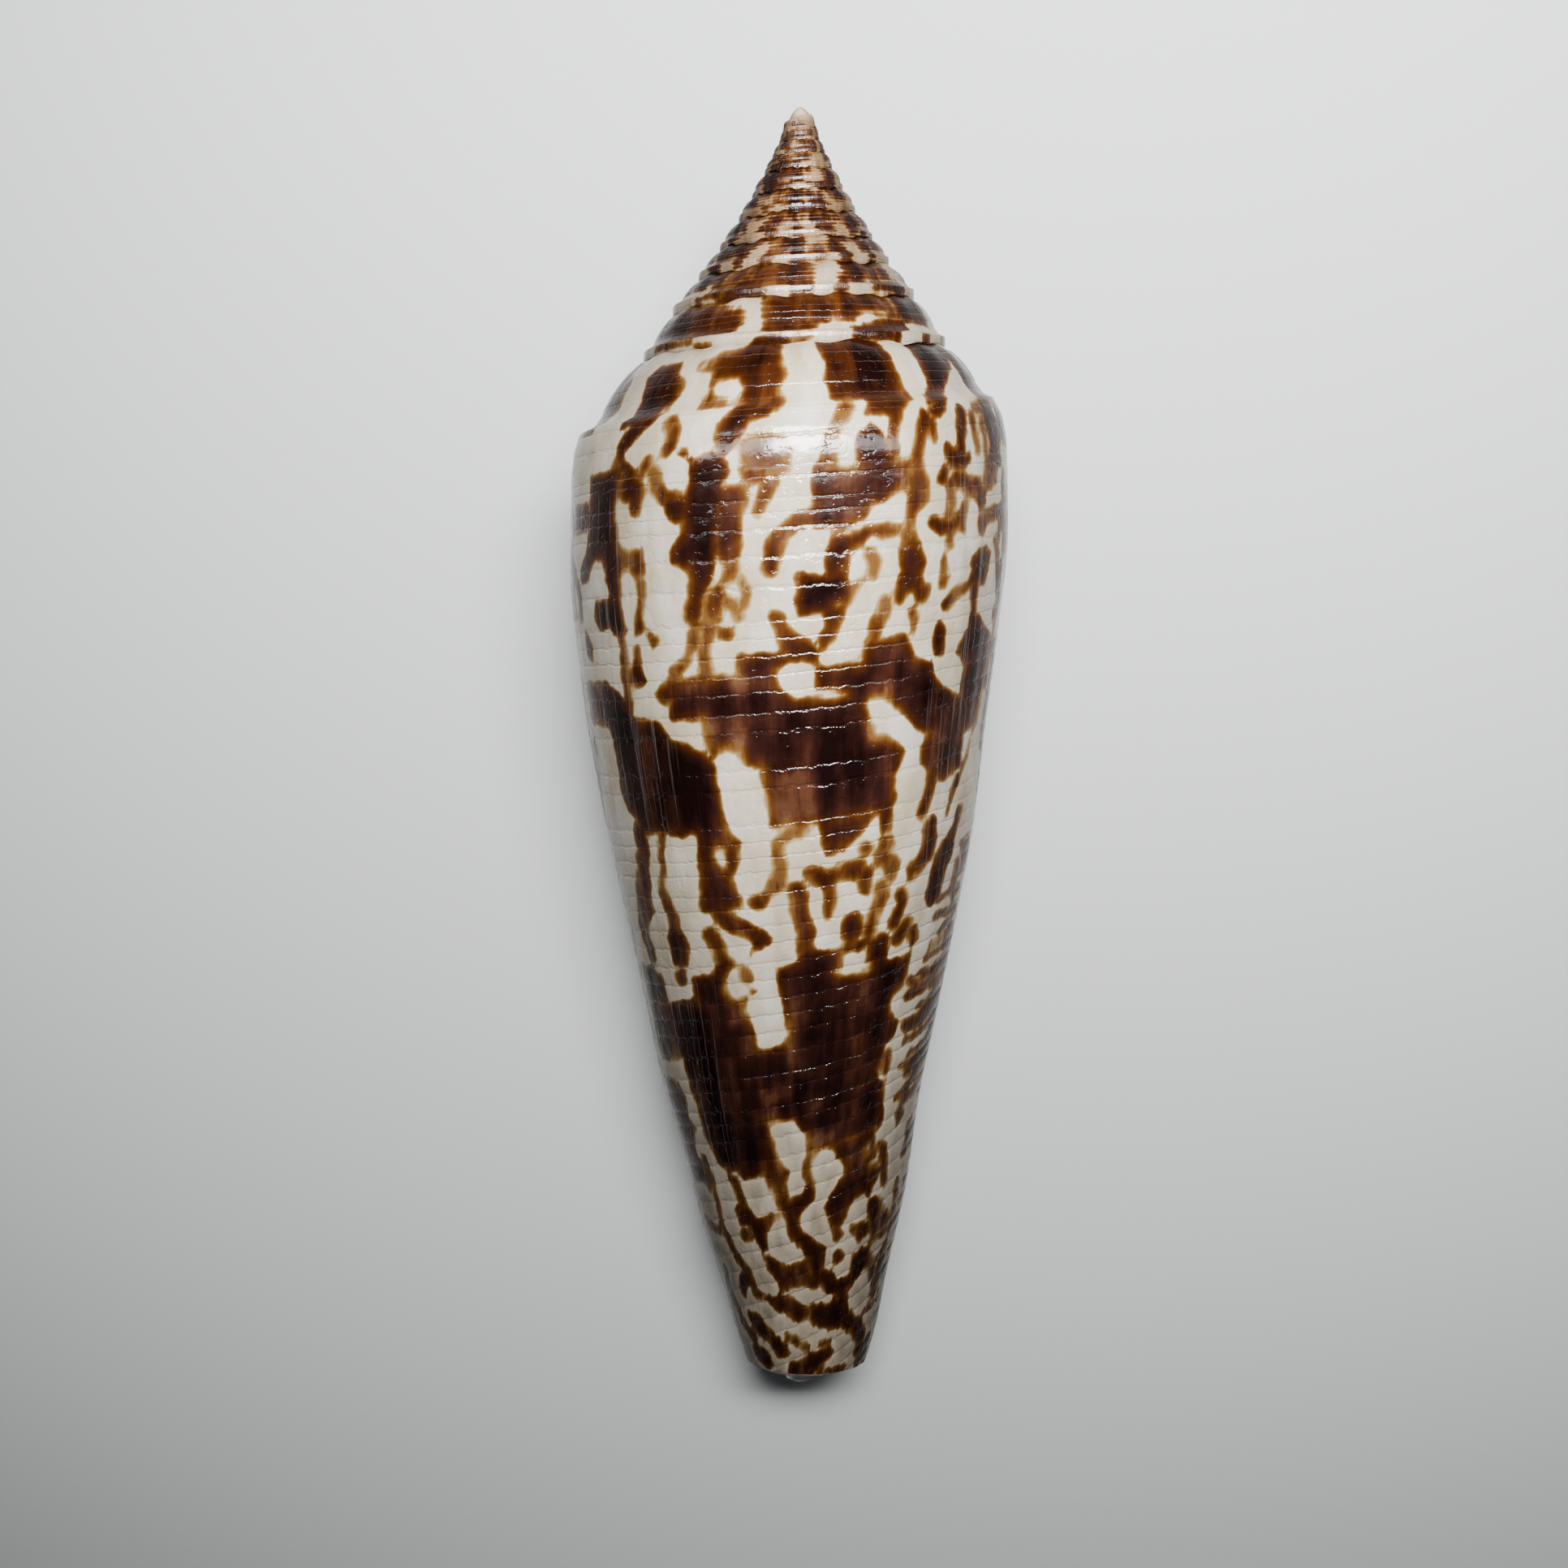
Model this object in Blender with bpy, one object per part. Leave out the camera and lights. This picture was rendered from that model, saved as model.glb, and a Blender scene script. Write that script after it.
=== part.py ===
"""An austral cone shell, lying on its aperture with the spire towards +Y.

The shell grew as one piece: a tube coiled round an axis. The shoulder keel is a spiral that winds down
from the apex, a ramp joins each turn of the keel to the turn before it, and the last turn carries the
long tapering body down to the anterior end. Under the shell the outer lip stands off the turn below it,
and a narrow curved aperture runs up inside from there.

Heights are measured along the coiling axis from the apex towards the anterior end. Coiling angles are in
radians: 0 is the shell's right side as it lies, half a turn on is its left side, and they grow towards
the lip. Lengths are in metres.
"""
import math

import bmesh
import bpy
import numpy as np
from mathutils import Euler, Vector

SHELL_NAME = "cone_shell"

# Driving dimensions of the whole shell
SHELL_LENGTH = 0.0800
ANTERIOR_CUT = 0.0794
GROWTH_PER_RADIAN = 0.033
LIP_ANGLE = 3.99
WHORLS = 12

# Height of the keel at each half turn, from the protoconch to the shell's left side, then at the lip
KEEL_HEIGHTS = (0.0008, 0.0010, 0.0012, 0.0014, 0.0018, 0.0020, 0.0025, 0.0028, 0.0033, 0.0037, 0.0045,
                0.0051, 0.0058, 0.0064, 0.0074, 0.0081, 0.0088, 0.0098, 0.0107, 0.0118, 0.0135, 0.0145,
                0.0170, 0.0195)
KEEL_HEIGHT_AT_LIP = 0.0203

# Outline of the spire as height and radius, which every turn of the keel touches
SPIRE_OUTLINE = ((0.0, 0.0), (0.0003, 0.00055), (0.0018, 0.00115), (0.0033, 0.0019), (0.0048, 0.0027),
                 (0.0063, 0.0036), (0.0078, 0.0046), (0.0093, 0.0057), (0.0109, 0.0070), (0.0124, 0.0081),
                 (0.0139, 0.0090), (0.0155, 0.0103), (0.0170, 0.0116), (0.0186, 0.0127), (0.0195, 0.01345),
                 (0.0210, 0.0143))

# Outline of the body whorl on the right side, as height and radius
BODY_OUTLINE = ((0.0150, 0.0107), (0.0170, 0.0117), (0.0180, 0.0122), (0.0195, 0.0125), (0.0215, 0.0126),
                (0.0250, 0.01268), (0.0300, 0.01226), (0.0360, 0.01155), (0.0420, 0.01069),
                (0.0480, 0.00948), (0.0540, 0.00832), (0.0600, 0.00716), (0.0660, 0.00638),
                (0.0720, 0.0052), (0.0760, 0.00445), (0.0800, 0.00333), (0.0900, 0.0010))
SHOULDER_BLEND = 0.0015
GROWTH_FADES_FROM = 0.0574

# The columella leans a little to the right towards the anterior end
BOW_WIDTH = 0.0005
BOW_START = 0.0353
BOW_END = 0.0496

# Across a ramp, from its suture to its keel: share of the way, and how far it stands off the straight line
RAMP_SECTION = ((0.0, 0.0), (0.10, 0.20), (0.86, -0.10), (1.0, 0.0))
RAMP_RELIEF = 0.0012

# Spiral cords on the lower part of the body
SMOOTH_ROW_HEIGHTS = (0.0170, 0.0175, 0.0182, 0.0192, 0.0206, 0.0224, 0.0245, 0.0270, 0.0295, 0.0320,
                      0.0345, 0.0370, 0.0395, 0.0420, 0.0445, 0.0470, 0.0495)
CORD_PITCH = 0.00112
CORD_GROOVE = 0.00015
CORDS_FADE_FROM = 0.0740
LAST_ROW_HEIGHT = 0.0875
ROW_BLEND = 0.0060

# The aperture: wall, inner surface and how far it runs up inside the shell
WALL = 0.0010
WALL_AT_END = 0.0007
LIP_EDGE_WALL = 0.0005
LIP_EDGE_TAPER = 0.35
PARIETAL_RISE = 0.00015
PARIETAL_CUT = 0.00010
COLUMELLA_RADIUS = 0.0013
APERTURE_TOP = 0.0006
APERTURE_LENGTH = 0.0830
APERTURE_TURN = 5.4
APERTURE_TURN_AT_END = 4.0
APERTURE_WIDENS_FROM = 0.0550
FRONT_MARGIN = 0.08
MOUTH_SPREAD = 1.0
LIP_RECEDES_FROM = 0.0580
LIP_RECESSION = 0.75
CUT_CLEARANCE = 0.0010

# How the shell lies: the apex is raised, and the shell is rolled about its axis. It rests on two worn flats.
REST_PITCH = math.radians(6.84)
REST_ROLL = math.radians(-1.32)
WEAR_DEPTH = 0.00015

COLUMNS_PER_TURN = 40
APERTURE_COLUMNS = 15
MOUTH_COLUMNS = 5
APERTURE_ROWS = 13
MERGE_DISTANCE = 1e-6
RIM_MERGE_DISTANCE = 5e-5

SHELL_COLOUR = (0.62, 0.52, 0.44, 1.0)
SHELL_ROUGHNESS = 0.2

TURN = 2 * math.pi


def smooth_step(value, start, end):
    """0 before start, 1 after end, and an S-shaped rise between them."""
    share = np.clip((value - start) / (end - start), 0.0, 1.0)
    return share * share * (3 - 2 * share)


def smooth_curve(points, at):
    """Height of a smooth curve through points, which doesn't overshoot between them."""
    x, y = np.array(points, float).T
    step, slope = np.diff(x), np.diff(y) / np.diff(x)
    tangent = np.concatenate(([slope[0]], (slope[1:] + slope[:-1]) / 2, [slope[-1]]))
    tangent[1:-1][slope[1:] * slope[:-1] <= 0] = 0.0
    limit = 3 * np.minimum(np.abs(np.append(slope, slope[-1])), np.abs(np.append(slope[0], slope)))
    tangent = np.clip(tangent, -limit, limit)
    at = np.clip(at, x[0], x[-1])
    k = np.clip(np.searchsorted(x, at) - 1, 0, len(x) - 2)
    t = (at - x[k]) / step[k]
    return (y[k] * (1 + 2 * t) * (1 - t) ** 2 + step[k] * tangent[k] * t * (1 - t) ** 2
            + y[k + 1] * t * t * (3 - 2 * t) + step[k] * tangent[k + 1] * t * t * (t - 1))


def keel_curve():
    """Angle and height of the keel at the apex, at every half turn and at the lip."""
    first = -math.pi * (len(KEEL_HEIGHTS) - 2)
    apex = (LIP_ANGLE - WHORLS * TURN, 0.0)
    halves = [(first + math.pi * i, height) for i, height in enumerate(KEEL_HEIGHTS)]
    halves = [half for half in halves if half[0] > apex[0] + math.pi]
    return [apex] + halves + [(LIP_ANGLE, KEEL_HEIGHT_AT_LIP), (LIP_ANGLE + 1.0, KEEL_HEIGHT_AT_LIP)]


def keel_height(angle):
    return smooth_curve(keel_curve(), angle)


def spire_radius(height):
    return smooth_curve(SPIRE_OUTLINE, height)


def body_radius(height, angle):
    """Radius of the body whorl, which is the right side's outline grown with the coiling angle."""
    fading = smooth_step(height, GROWTH_FADES_FROM, ANTERIOR_CUT)
    growth = np.exp(GROWTH_PER_RADIAN * angle * (1 - fading))
    keel = keel_height(angle)
    growth_at_keel = np.exp(GROWTH_PER_RADIAN * angle)
    gap = spire_radius(keel) - growth_at_keel * smooth_curve(BODY_OUTLINE, keel / growth_at_keel)
    fade = np.exp(-np.maximum(height - keel, 0.0) / SHOULDER_BLEND)
    return growth * smooth_curve(BODY_OUTLINE, height / growth) + gap * fade


def place(height, radius, angle):
    """Points in the shell's own frame: the coiling axis runs along -Y from the apex."""
    lean = BOW_WIDTH * smooth_step(height, BOW_START, BOW_END)
    return np.stack([radius * np.cos(angle) + lean, -height, radius * np.sin(angle)], axis=-1)


def add_grid(bm, points):
    """A grid of quads with its corners at points, an array of rows and columns."""
    rows, columns = points.shape[:2]
    grid = bmesh.ops.create_grid(bm, x_segments=columns - 1, y_segments=rows - 1, size=0.5)
    for vert, point in zip(grid["verts"], points.reshape(-1, 3)):
        vert.co = point


def ramp_points():
    """Every turn of the spire as one long strip, from the turn of the keel before to its own."""
    angle = LIP_ANGLE + TURN * (np.arange(COLUMNS_PER_TURN * WHORLS + 1) / COLUMNS_PER_TURN - WHORLS)
    outer = keel_height(angle)
    inner = np.where(angle - TURN < angle[0], 0.0, keel_height(angle - TURN))
    outer_radius, inner_radius = spire_radius(outer), spire_radius(inner)
    run, rise = outer_radius - inner_radius, outer - inner
    width = np.maximum(np.hypot(run, rise), MERGE_DISTANCE)
    relief = RAMP_RELIEF * np.minimum(width / SHOULDER_BLEND, 1.0)
    rows = []
    for share, stand in RAMP_SECTION:
        height = np.maximum(inner + share * rise - stand * relief * run / width, 0.0)
        radius = inner_radius + share * run + stand * relief * rise / width
        rows.append(place(height, radius, angle))
    return np.array(rows)


def body_points():
    """The body whorl, its rows along the spiral cords and its columns from the lip round to the lip."""
    angle = LIP_ANGLE + TURN * (np.arange(COLUMNS_PER_TURN + 1) / COLUMNS_PER_TURN - 1)
    first = SMOOTH_ROW_HEIGHTS[0]
    cords = np.arange(SMOOTH_ROW_HEIGHTS[-1] + CORD_PITCH / 2, LAST_ROW_HEIGHT, CORD_PITCH / 2)
    rows = []
    for i, start in enumerate(np.concatenate([SMOOTH_ROW_HEIGHTS, cords])):
        growth = np.exp(GROWTH_PER_RADIAN * angle)
        shift = (keel_height(angle) - first * growth) * math.exp(-(start - first) / ROW_BLEND)
        height = start * growth + shift
        in_groove = i >= len(SMOOTH_ROW_HEIGHTS) and (i - len(SMOOTH_ROW_HEIGHTS)) % 2 == 1
        groove = CORD_GROOVE * in_groove * (1 - smooth_step(height, CORDS_FADE_FROM, ANTERIOR_CUT))
        radius = spire_radius(height) if i == 0 else body_radius(height, angle)
        rows.append(place(height, radius - groove, angle))
    return np.array(rows)


def wear_underside(bm):
    """Takes a thin slice off the belly and the lip, where the shell lies on them."""
    down = Euler((REST_PITCH, REST_ROLL, 0.0)).to_matrix().inverted() @ Vector((0, 0, -1))
    reach = max(v.co.dot(down) for v in bm.verts) - WEAR_DEPTH
    bmesh.ops.bisect_plane(bm, geom=bm.verts[:] + bm.edges[:] + bm.faces[:], dist=MERGE_DISTANCE,
                           plane_co=down * reach, plane_no=down, clear_outer=True)
    bmesh.ops.holes_fill(bm, edges=[e for e in bm.edges if e.is_boundary])


def build_outside():
    """The outside of the shell as one closed surface, with a flat step where the lip ends."""
    bm = bmesh.new()
    add_grid(bm, ramp_points())
    add_grid(bm, body_points())
    bmesh.ops.bisect_plane(bm, geom=bm.verts[:] + bm.edges[:] + bm.faces[:], dist=MERGE_DISTANCE,
                           plane_co=(0, -ANTERIOR_CUT, 0), plane_no=(0, -1, 0), clear_outer=True)
    bmesh.ops.remove_doubles(bm, verts=bm.verts[:], dist=MERGE_DISTANCE)
    rim = [v for v in bm.verts if v.is_boundary and v.co.y < MERGE_DISTANCE - ANTERIOR_CUT]
    bmesh.ops.remove_doubles(bm, verts=rim, dist=RIM_MERGE_DISTANCE)
    filled = bmesh.ops.holes_fill(bm, edges=[e for e in bm.edges if e.is_boundary])["faces"]
    bm.normal_update()
    anterior_end = [f for f in filled if abs(f.normal.y) > 0.9]
    for vert in bmesh.ops.poke(bm, faces=anterior_end)["verts"]:
        vert.co.y = -SHELL_LENGTH
    wear_underside(bm)
    bmesh.ops.triangulate(bm, faces=bm.faces[:])
    bmesh.ops.recalc_face_normals(bm, faces=bm.faces[:])
    return bm


def aperture_points():
    """Rings round a curved slab: up the outer side to the back of the aperture, down the inner side."""
    share = np.linspace(0.0, 1.0, APERTURE_ROWS)[:, None]
    rough = keel_height(LIP_ANGLE) + (APERTURE_LENGTH - keel_height(LIP_ANGLE)) * share
    widening = smooth_step(rough, APERTURE_WIDENS_FROM, SHELL_LENGTH)
    lip = LIP_ANGLE - LIP_RECESSION * smooth_step(rough, LIP_RECEDES_FROM, SHELL_LENGTH)
    front = LIP_ANGLE + FRONT_MARGIN + MOUTH_SPREAD * widening
    back = LIP_ANGLE - APERTURE_TURN - (APERTURE_TURN_AT_END - APERTURE_TURN) * widening
    mouth = front + (lip + FRONT_MARGIN / 2 - front) * np.linspace(0.0, 1.0, MOUTH_COLUMNS)
    inside = lip - LIP_EDGE_TAPER
    further = np.linspace(0.0, 1.0, APERTURE_COLUMNS)
    outer_angle = np.hstack([mouth, lip, inside + (back - inside) * further])
    inner_angle = outer_angle[:, ::-1]

    def height_at(angle):
        top = keel_height(angle) + APERTURE_TOP
        return top + (APERTURE_LENGTH - top) * share

    outer_height = height_at(outer_angle)
    wall = WALL + (WALL_AT_END - WALL) * widening + 0.0 * outer_angle
    wall[:, :MOUTH_COLUMNS] = -CUT_CLEARANCE
    wall[:, MOUTH_COLUMNS] = LIP_EDGE_WALL
    outer_radius = body_radius(outer_height, outer_angle) - wall
    inner_height = height_at(inner_angle)
    below = -PARIETAL_CUT + 0.0 * inner_angle
    below[:, -1] = PARIETAL_RISE
    parietal = body_radius(inner_height, inner_angle - TURN) + below
    inner_radius = parietal + (COLUMELLA_RADIUS - parietal) * widening
    outer = place(outer_height, outer_radius, outer_angle)
    inner = place(inner_height, inner_radius, inner_angle)
    return np.concatenate([outer, inner, outer[:, :1]], axis=1)


def build_aperture():
    """The space of the aperture as a closed cutter."""
    bm = bmesh.new()
    add_grid(bm, aperture_points())
    bmesh.ops.remove_doubles(bm, verts=bm.verts[:], dist=MERGE_DISTANCE)
    bmesh.ops.holes_fill(bm, edges=[e for e in bm.edges if e.is_boundary])
    bmesh.ops.triangulate(bm, faces=bm.faces[:])
    bmesh.ops.recalc_face_normals(bm, faces=bm.faces[:])
    return bm


def add_object(name, bm, collection, parent):
    mesh = bpy.data.meshes.new(name)
    bm.to_mesh(mesh)
    bm.free()
    obj = bpy.data.objects.new(name, mesh)
    obj.parent = parent
    collection.objects.link(obj)
    return obj


def shell_material():
    material = bpy.data.materials.new("polished_shell")
    material.use_nodes = True
    shader = material.node_tree.nodes["Principled BSDF"]
    shader.inputs["Base Color"].default_value = SHELL_COLOUR
    shader.inputs["Roughness"].default_value = SHELL_ROUGHNESS
    shader.inputs["Metallic"].default_value = 0.0
    return material


def lay_down(rest, shell):
    """Turns the shell to how it lies, and puts the middle of its footprint at the origin."""
    rest.rotation_euler = (REST_PITCH, REST_ROLL, 0.0)
    bpy.context.view_layer.update()
    evaluated = shell.evaluated_get(bpy.context.evaluated_depsgraph_get())
    corners = np.array([evaluated.matrix_world @ v.co for v in evaluated.data.vertices])
    low, high = corners.min(axis=0), corners.max(axis=0)
    rest.location = Vector((-(low[0] + high[0]) / 2, -(low[1] + high[1]) / 2, -low[2]))


for old in list(bpy.data.objects):
    bpy.data.objects.remove(old, do_unlink=True)

parts = bpy.data.collections.new("austral_cone_shell")
cutters = bpy.data.collections.new("cutters")
for group in (parts, cutters):
    bpy.context.scene.collection.children.link(group)

rest = bpy.data.objects.new("rest", None)
parts.objects.link(rest)

shell = add_object(SHELL_NAME, build_outside(), parts, rest)
shell.data.materials.append(shell_material())
shell.data.shade_smooth()

aperture = add_object("aperture_space", build_aperture(), cutters, rest)
aperture.hide_render = True
aperture.display_type = "WIRE"

cut = shell.modifiers.new("aperture", "BOOLEAN")
cut.operation = "DIFFERENCE"
cut.solver = "EXACT"
cut.object = aperture

lay_down(rest, shell)
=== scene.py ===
"""How the austral cone shell looks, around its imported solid."""
import math

import bpy
import numpy as np
from mathutils import Euler, Matrix, Vector


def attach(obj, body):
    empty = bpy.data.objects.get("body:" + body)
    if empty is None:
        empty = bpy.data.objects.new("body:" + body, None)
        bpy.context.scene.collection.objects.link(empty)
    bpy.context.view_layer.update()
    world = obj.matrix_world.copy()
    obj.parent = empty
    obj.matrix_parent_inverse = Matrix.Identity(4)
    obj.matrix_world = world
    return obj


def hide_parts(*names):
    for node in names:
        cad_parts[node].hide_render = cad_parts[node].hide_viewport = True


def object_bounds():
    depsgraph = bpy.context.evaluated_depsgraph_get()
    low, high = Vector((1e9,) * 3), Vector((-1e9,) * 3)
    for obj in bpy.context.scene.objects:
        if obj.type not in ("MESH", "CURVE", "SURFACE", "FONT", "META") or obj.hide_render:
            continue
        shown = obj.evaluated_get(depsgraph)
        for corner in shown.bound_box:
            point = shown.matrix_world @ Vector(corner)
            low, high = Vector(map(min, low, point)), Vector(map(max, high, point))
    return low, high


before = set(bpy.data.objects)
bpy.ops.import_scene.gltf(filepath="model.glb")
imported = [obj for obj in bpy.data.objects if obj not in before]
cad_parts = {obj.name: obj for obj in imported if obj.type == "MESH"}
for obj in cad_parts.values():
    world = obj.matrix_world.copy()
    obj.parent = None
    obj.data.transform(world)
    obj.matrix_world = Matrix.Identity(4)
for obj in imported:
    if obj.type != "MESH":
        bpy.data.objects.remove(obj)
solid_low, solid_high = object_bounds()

# Shell outside
# The shell grew as one coiled tube of aragonite. Its keel is a spiral that winds down from the apex, a ramp
# joins each turn of the keel to the one before, and the last turn carries the long body with its spiral
# ribbons. Heights run along the coiling axis from the apex, in mm. Angles grow towards the lip, in radians.

MM = 0.001
TURN = 2 * math.pi
SHELL_LENGTH = 80.0
ANTERIOR_CUT = 79.4
WALL_END = 78.2
END_SLOPE = 0.14
GROWTH = 0.033
LIP_ANGLE = 3.99
WHORLS = 12
TOP_SIDE = (math.radians(12.0), math.radians(172.0))
TOP_COLUMNS, OTHER_COLUMNS = 160, 84

KEEL_HEIGHTS = (0.8, 1.0, 1.2, 1.4, 1.8, 2.0, 2.5, 2.8, 3.3, 3.7, 4.5, 5.1, 5.8, 6.4, 7.4, 8.1, 8.8, 9.8,
                10.7, 11.8, 13.5, 14.5, 17.0, 19.5)
KEEL_HEIGHT_AT_LIP = 20.3
SPIRE_OUTLINE = ((0.0, 0.0), (0.3, 0.55), (1.8, 1.15), (3.3, 1.9), (4.8, 2.7), (6.3, 3.6), (7.8, 4.6),
                 (9.3, 5.7), (10.9, 7.0), (12.4, 8.1), (13.9, 9.0), (15.5, 10.3), (17.0, 11.6),
                 (18.6, 12.7), (19.5, 13.45), (21.0, 14.3))
BODY_OUTLINE = ((15.0, 10.7), (17.0, 11.7), (18.0, 12.2), (19.5, 12.5), (21.5, 12.6), (25.0, 12.68),
                (30.0, 12.26), (36.0, 11.55), (42.0, 10.69), (48.0, 9.48), (54.0, 8.32), (60.0, 7.16),
                (66.0, 6.38), (72.0, 5.2), (76.0, 4.45), (80.0, 3.33), (90.0, 1.0))
SHOULDER = 17.0
SHOULDER_BLEND = 1.5
ROW_BLEND = 6.0
ROW_STEPS = 12
GROWTH_FADES_FROM = 57.4
BOW_WIDTH, BOW_START, BOW_END = 0.5, 35.3, 49.6

# Grooves between the ribbons of the body, by their height on the right side, and how deep each stretch is
UPPER_GROOVES = (17.4, 18.5, 20.2, 20.7, 21.9, 22.6, 23.4, 24.9, 26.5, 28.3, 29.2, 30.1, 31.1, 32.0, 33.1,
                 34.1, 36.2, 37.2, 39.2, 40.1, 41.0, 41.8, 43.0, 43.8, 44.9, 45.9, 47.0, 48.0, 49.1, 50.1,
                 51.1, 52.3, 53.6, 54.4, 55.6, 56.4, 57.5, 58.8)
LOWER_PITCH = 1.12
LAST_GROOVE = 87.5
GROOVE_HALF_WIDTHS = ((17.0, 0.34), (44.0, 0.34), (54.0, 0.16), (90.0, 0.16))
FINE_ROWS_FROM = 48.0
ROW_SPACING, FINE_HALF_ROW, FIRST_ROW_STEP = 0.36, 0.16, 0.2
GROOVE_DEPTHS = ((17.0, 0.012), (26.0, 0.018), (40.0, 0.022), (50.0, 0.028), (58.0, 0.032), (64.0, 0.035),
                 (75.0, 0.035), (80.0, 0.02))
RIBBON_CROWN = 0.5

# Low swellings left by pauses in growth, as waves round the shell: the share of each, how many there are in a
# turn, and where it starts. They drift sideways down the shell, and die out at the seam of the anterior end.
WAVE_HEIGHT = 0.03
WAVES_START = 1.5
GROWTH_WAVES = ((0.5, 23, 0.0), (0.3, 41, 1.3), (0.2, 67, 0.4))
WAVE_DRIFT = ((0.035, 0.21, 0.0), (0.02, 0.63, 1.0))
SEAM_FADES = (60.0, 74.0)
SEAM_WIDTHS = (0.2, 0.6)

# In metres: how close corners become one, the least distance at a cut, and the radius of the closed apex
MERGE_DISTANCE = 4e-6
CUT_THRESHOLD = 1e-6
TIP_RADIUS = 6e-5

# Across a ramp: the bare face below the older keel, then the ramp itself. Profiles and rows are shares of its
# run and rise. Its heights, its depths and the heights at which something starts or fades are in mm.
FACE_HEIGHT = 0.62
FACE_SHARE_LIMIT = 0.28
FACE_WAVER = ((0.12, 9, 0.0), (0.10, 23, 1.0))
FACE_PROFILE = ((0.35, 0.3), (0.85, 0.4), (1.0, -0.6))
RAMP_PROFILE = ((0.0, 0.0), (0.03, 0.03), (0.05, 0.10), (0.11, 0.20), (0.24, 0.34), (0.40, 0.48),
                (0.59, 0.60), (0.79, 0.70), (0.89, 0.78), (0.96, 0.88), (1.0, 1.0))
RAMP_ROWS = (0.06, 0.20, 0.36, 0.42, 0.48, 0.64, 0.70, 0.78, 0.92, 1.0)
RAMP_GROOVES = (0.42, 0.70)
RAMP_GROOVE_DEPTH = 0.03
RAMP_GROOVES_START = (0.5, 2.0)
FACES_START = (1.2, 3.0)
BITE_LIMIT, BITE_SHARE = 0.07, 0.06
BULGE_SHARE = 0.09
BULGE_FADES = (6.0, 14.0)
LEAST_RISE = 1e-6


def smooth_step(value, start, end):
    """0 before start, 1 after end, and an S-shaped rise between them."""
    share = np.clip((value - start) / (end - start), 0.0, 1.0)
    return share * share * (3 - 2 * share)


def smooth_curve(points, at):
    """Height of a smooth curve through points, which doesn't overshoot between them."""
    x, y = np.array(points, float).T
    step, slope = np.diff(x), np.diff(y) / np.diff(x)
    tangent = np.concatenate(([slope[0]], (slope[1:] + slope[:-1]) / 2, [slope[-1]]))
    tangent[1:-1][slope[1:] * slope[:-1] <= 0] = 0.0
    limit = 3 * np.minimum(np.abs(np.append(slope, slope[-1])), np.abs(np.append(slope[0], slope)))
    tangent = np.clip(tangent, -limit, limit)
    at = np.clip(at, x[0], x[-1])
    k = np.clip(np.searchsorted(x, at) - 1, 0, len(x) - 2)
    t = (at - x[k]) / step[k]
    return (y[k] * (1 + 2 * t) * (1 - t) ** 2 + step[k] * tangent[k] * t * (1 - t) ** 2
            + y[k + 1] * t * t * (3 - 2 * t) + step[k] * tangent[k + 1] * t * t * (t - 1))


def sines(at, waves):
    """A sum of sine waves, each given by its height, how close its waves stand, and where it starts."""
    return sum(height * np.sin(count * at + start) for height, count, start in waves)


def keel_height(angle):
    """Height of the keel, which is known at each half turn."""
    first = -math.pi * (len(KEEL_HEIGHTS) - 2)
    apex = LIP_ANGLE - WHORLS * TURN
    halves = [(first + math.pi * i, height) for i, height in enumerate(KEEL_HEIGHTS)]
    halves = [half for half in halves if half[0] > apex + math.pi]
    end = [(LIP_ANGLE, KEEL_HEIGHT_AT_LIP), (LIP_ANGLE + 1.0, KEEL_HEIGHT_AT_LIP)]
    return smooth_curve([(apex, 0.0)] + halves + end, angle)


def spire_radius(height):
    """Radius of the keel at a height of the spire."""
    return smooth_curve(SPIRE_OUTLINE, height)


def body_radius(height, angle):
    """Radius of the body whorl, which is the right side's outline grown with the coiling angle."""
    growth = np.exp(GROWTH * angle * (1 - smooth_step(height, GROWTH_FADES_FROM, ANTERIOR_CUT)))
    keel, growth_at_keel = keel_height(angle), np.exp(GROWTH * angle)
    gap = spire_radius(keel) - growth_at_keel * smooth_curve(BODY_OUTLINE, keel / growth_at_keel)
    fade = np.exp(-np.maximum(height - keel, 0.0) / SHOULDER_BLEND)
    return growth * smooth_curve(BODY_OUTLINE, height / growth) + gap * fade


def row_height(start, angle):
    """Height at angle of the row that leaves the right side at start."""
    growth = np.exp(GROWTH * angle)
    bend = (keel_height(angle) - SHOULDER * growth) * np.exp(-(start - SHOULDER) / ROW_BLEND)
    return start * growth + bend


def row_of(height, angle):
    """The row that passes through a height of the last turn, found step by step."""
    growth = np.exp(GROWTH * angle)
    row = height / growth
    for _ in range(ROW_STEPS):
        bend = (keel_height(angle) - SHOULDER * growth) * np.exp(-(row - SHOULDER) / ROW_BLEND)
        row = (height - bend) / growth
    return row


def face_share(angle):
    """Share of the way between two turns of the keel that the bare face below the older one takes."""
    rise = np.maximum(keel_height(angle) - keel_height(angle - TURN), LEAST_RISE)
    return np.minimum(FACE_SHARE_LIMIT, FACE_HEIGHT / rise) * (1 + sines(angle, FACE_WAVER))


def place(height, radius, angle):
    """Points in the shell's own frame: the coiling axis runs along -Y from the apex."""
    lean = BOW_WIDTH * smooth_step(height, BOW_START, BOW_END)
    return np.stack([radius * np.cos(angle) + lean, -height, radius * np.sin(angle)], axis=-1)


def growth_waves(angle, height):
    """Low axial swellings, which drift sideways down the shell and come and go in patches."""
    patch = 0.5 + 0.5 * np.sin(5 * angle + 0.15 * height)
    return sines(angle + sines(height, WAVE_DRIFT), GROWTH_WAVES) * patch


def pick(*pieces):
    """Selects just these pieces and makes the first of them the active one."""
    bpy.ops.object.select_all(action="DESELECT")
    for piece in pieces:
        piece.select_set(True)
    bpy.context.view_layer.objects.active = pieces[0]


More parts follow.
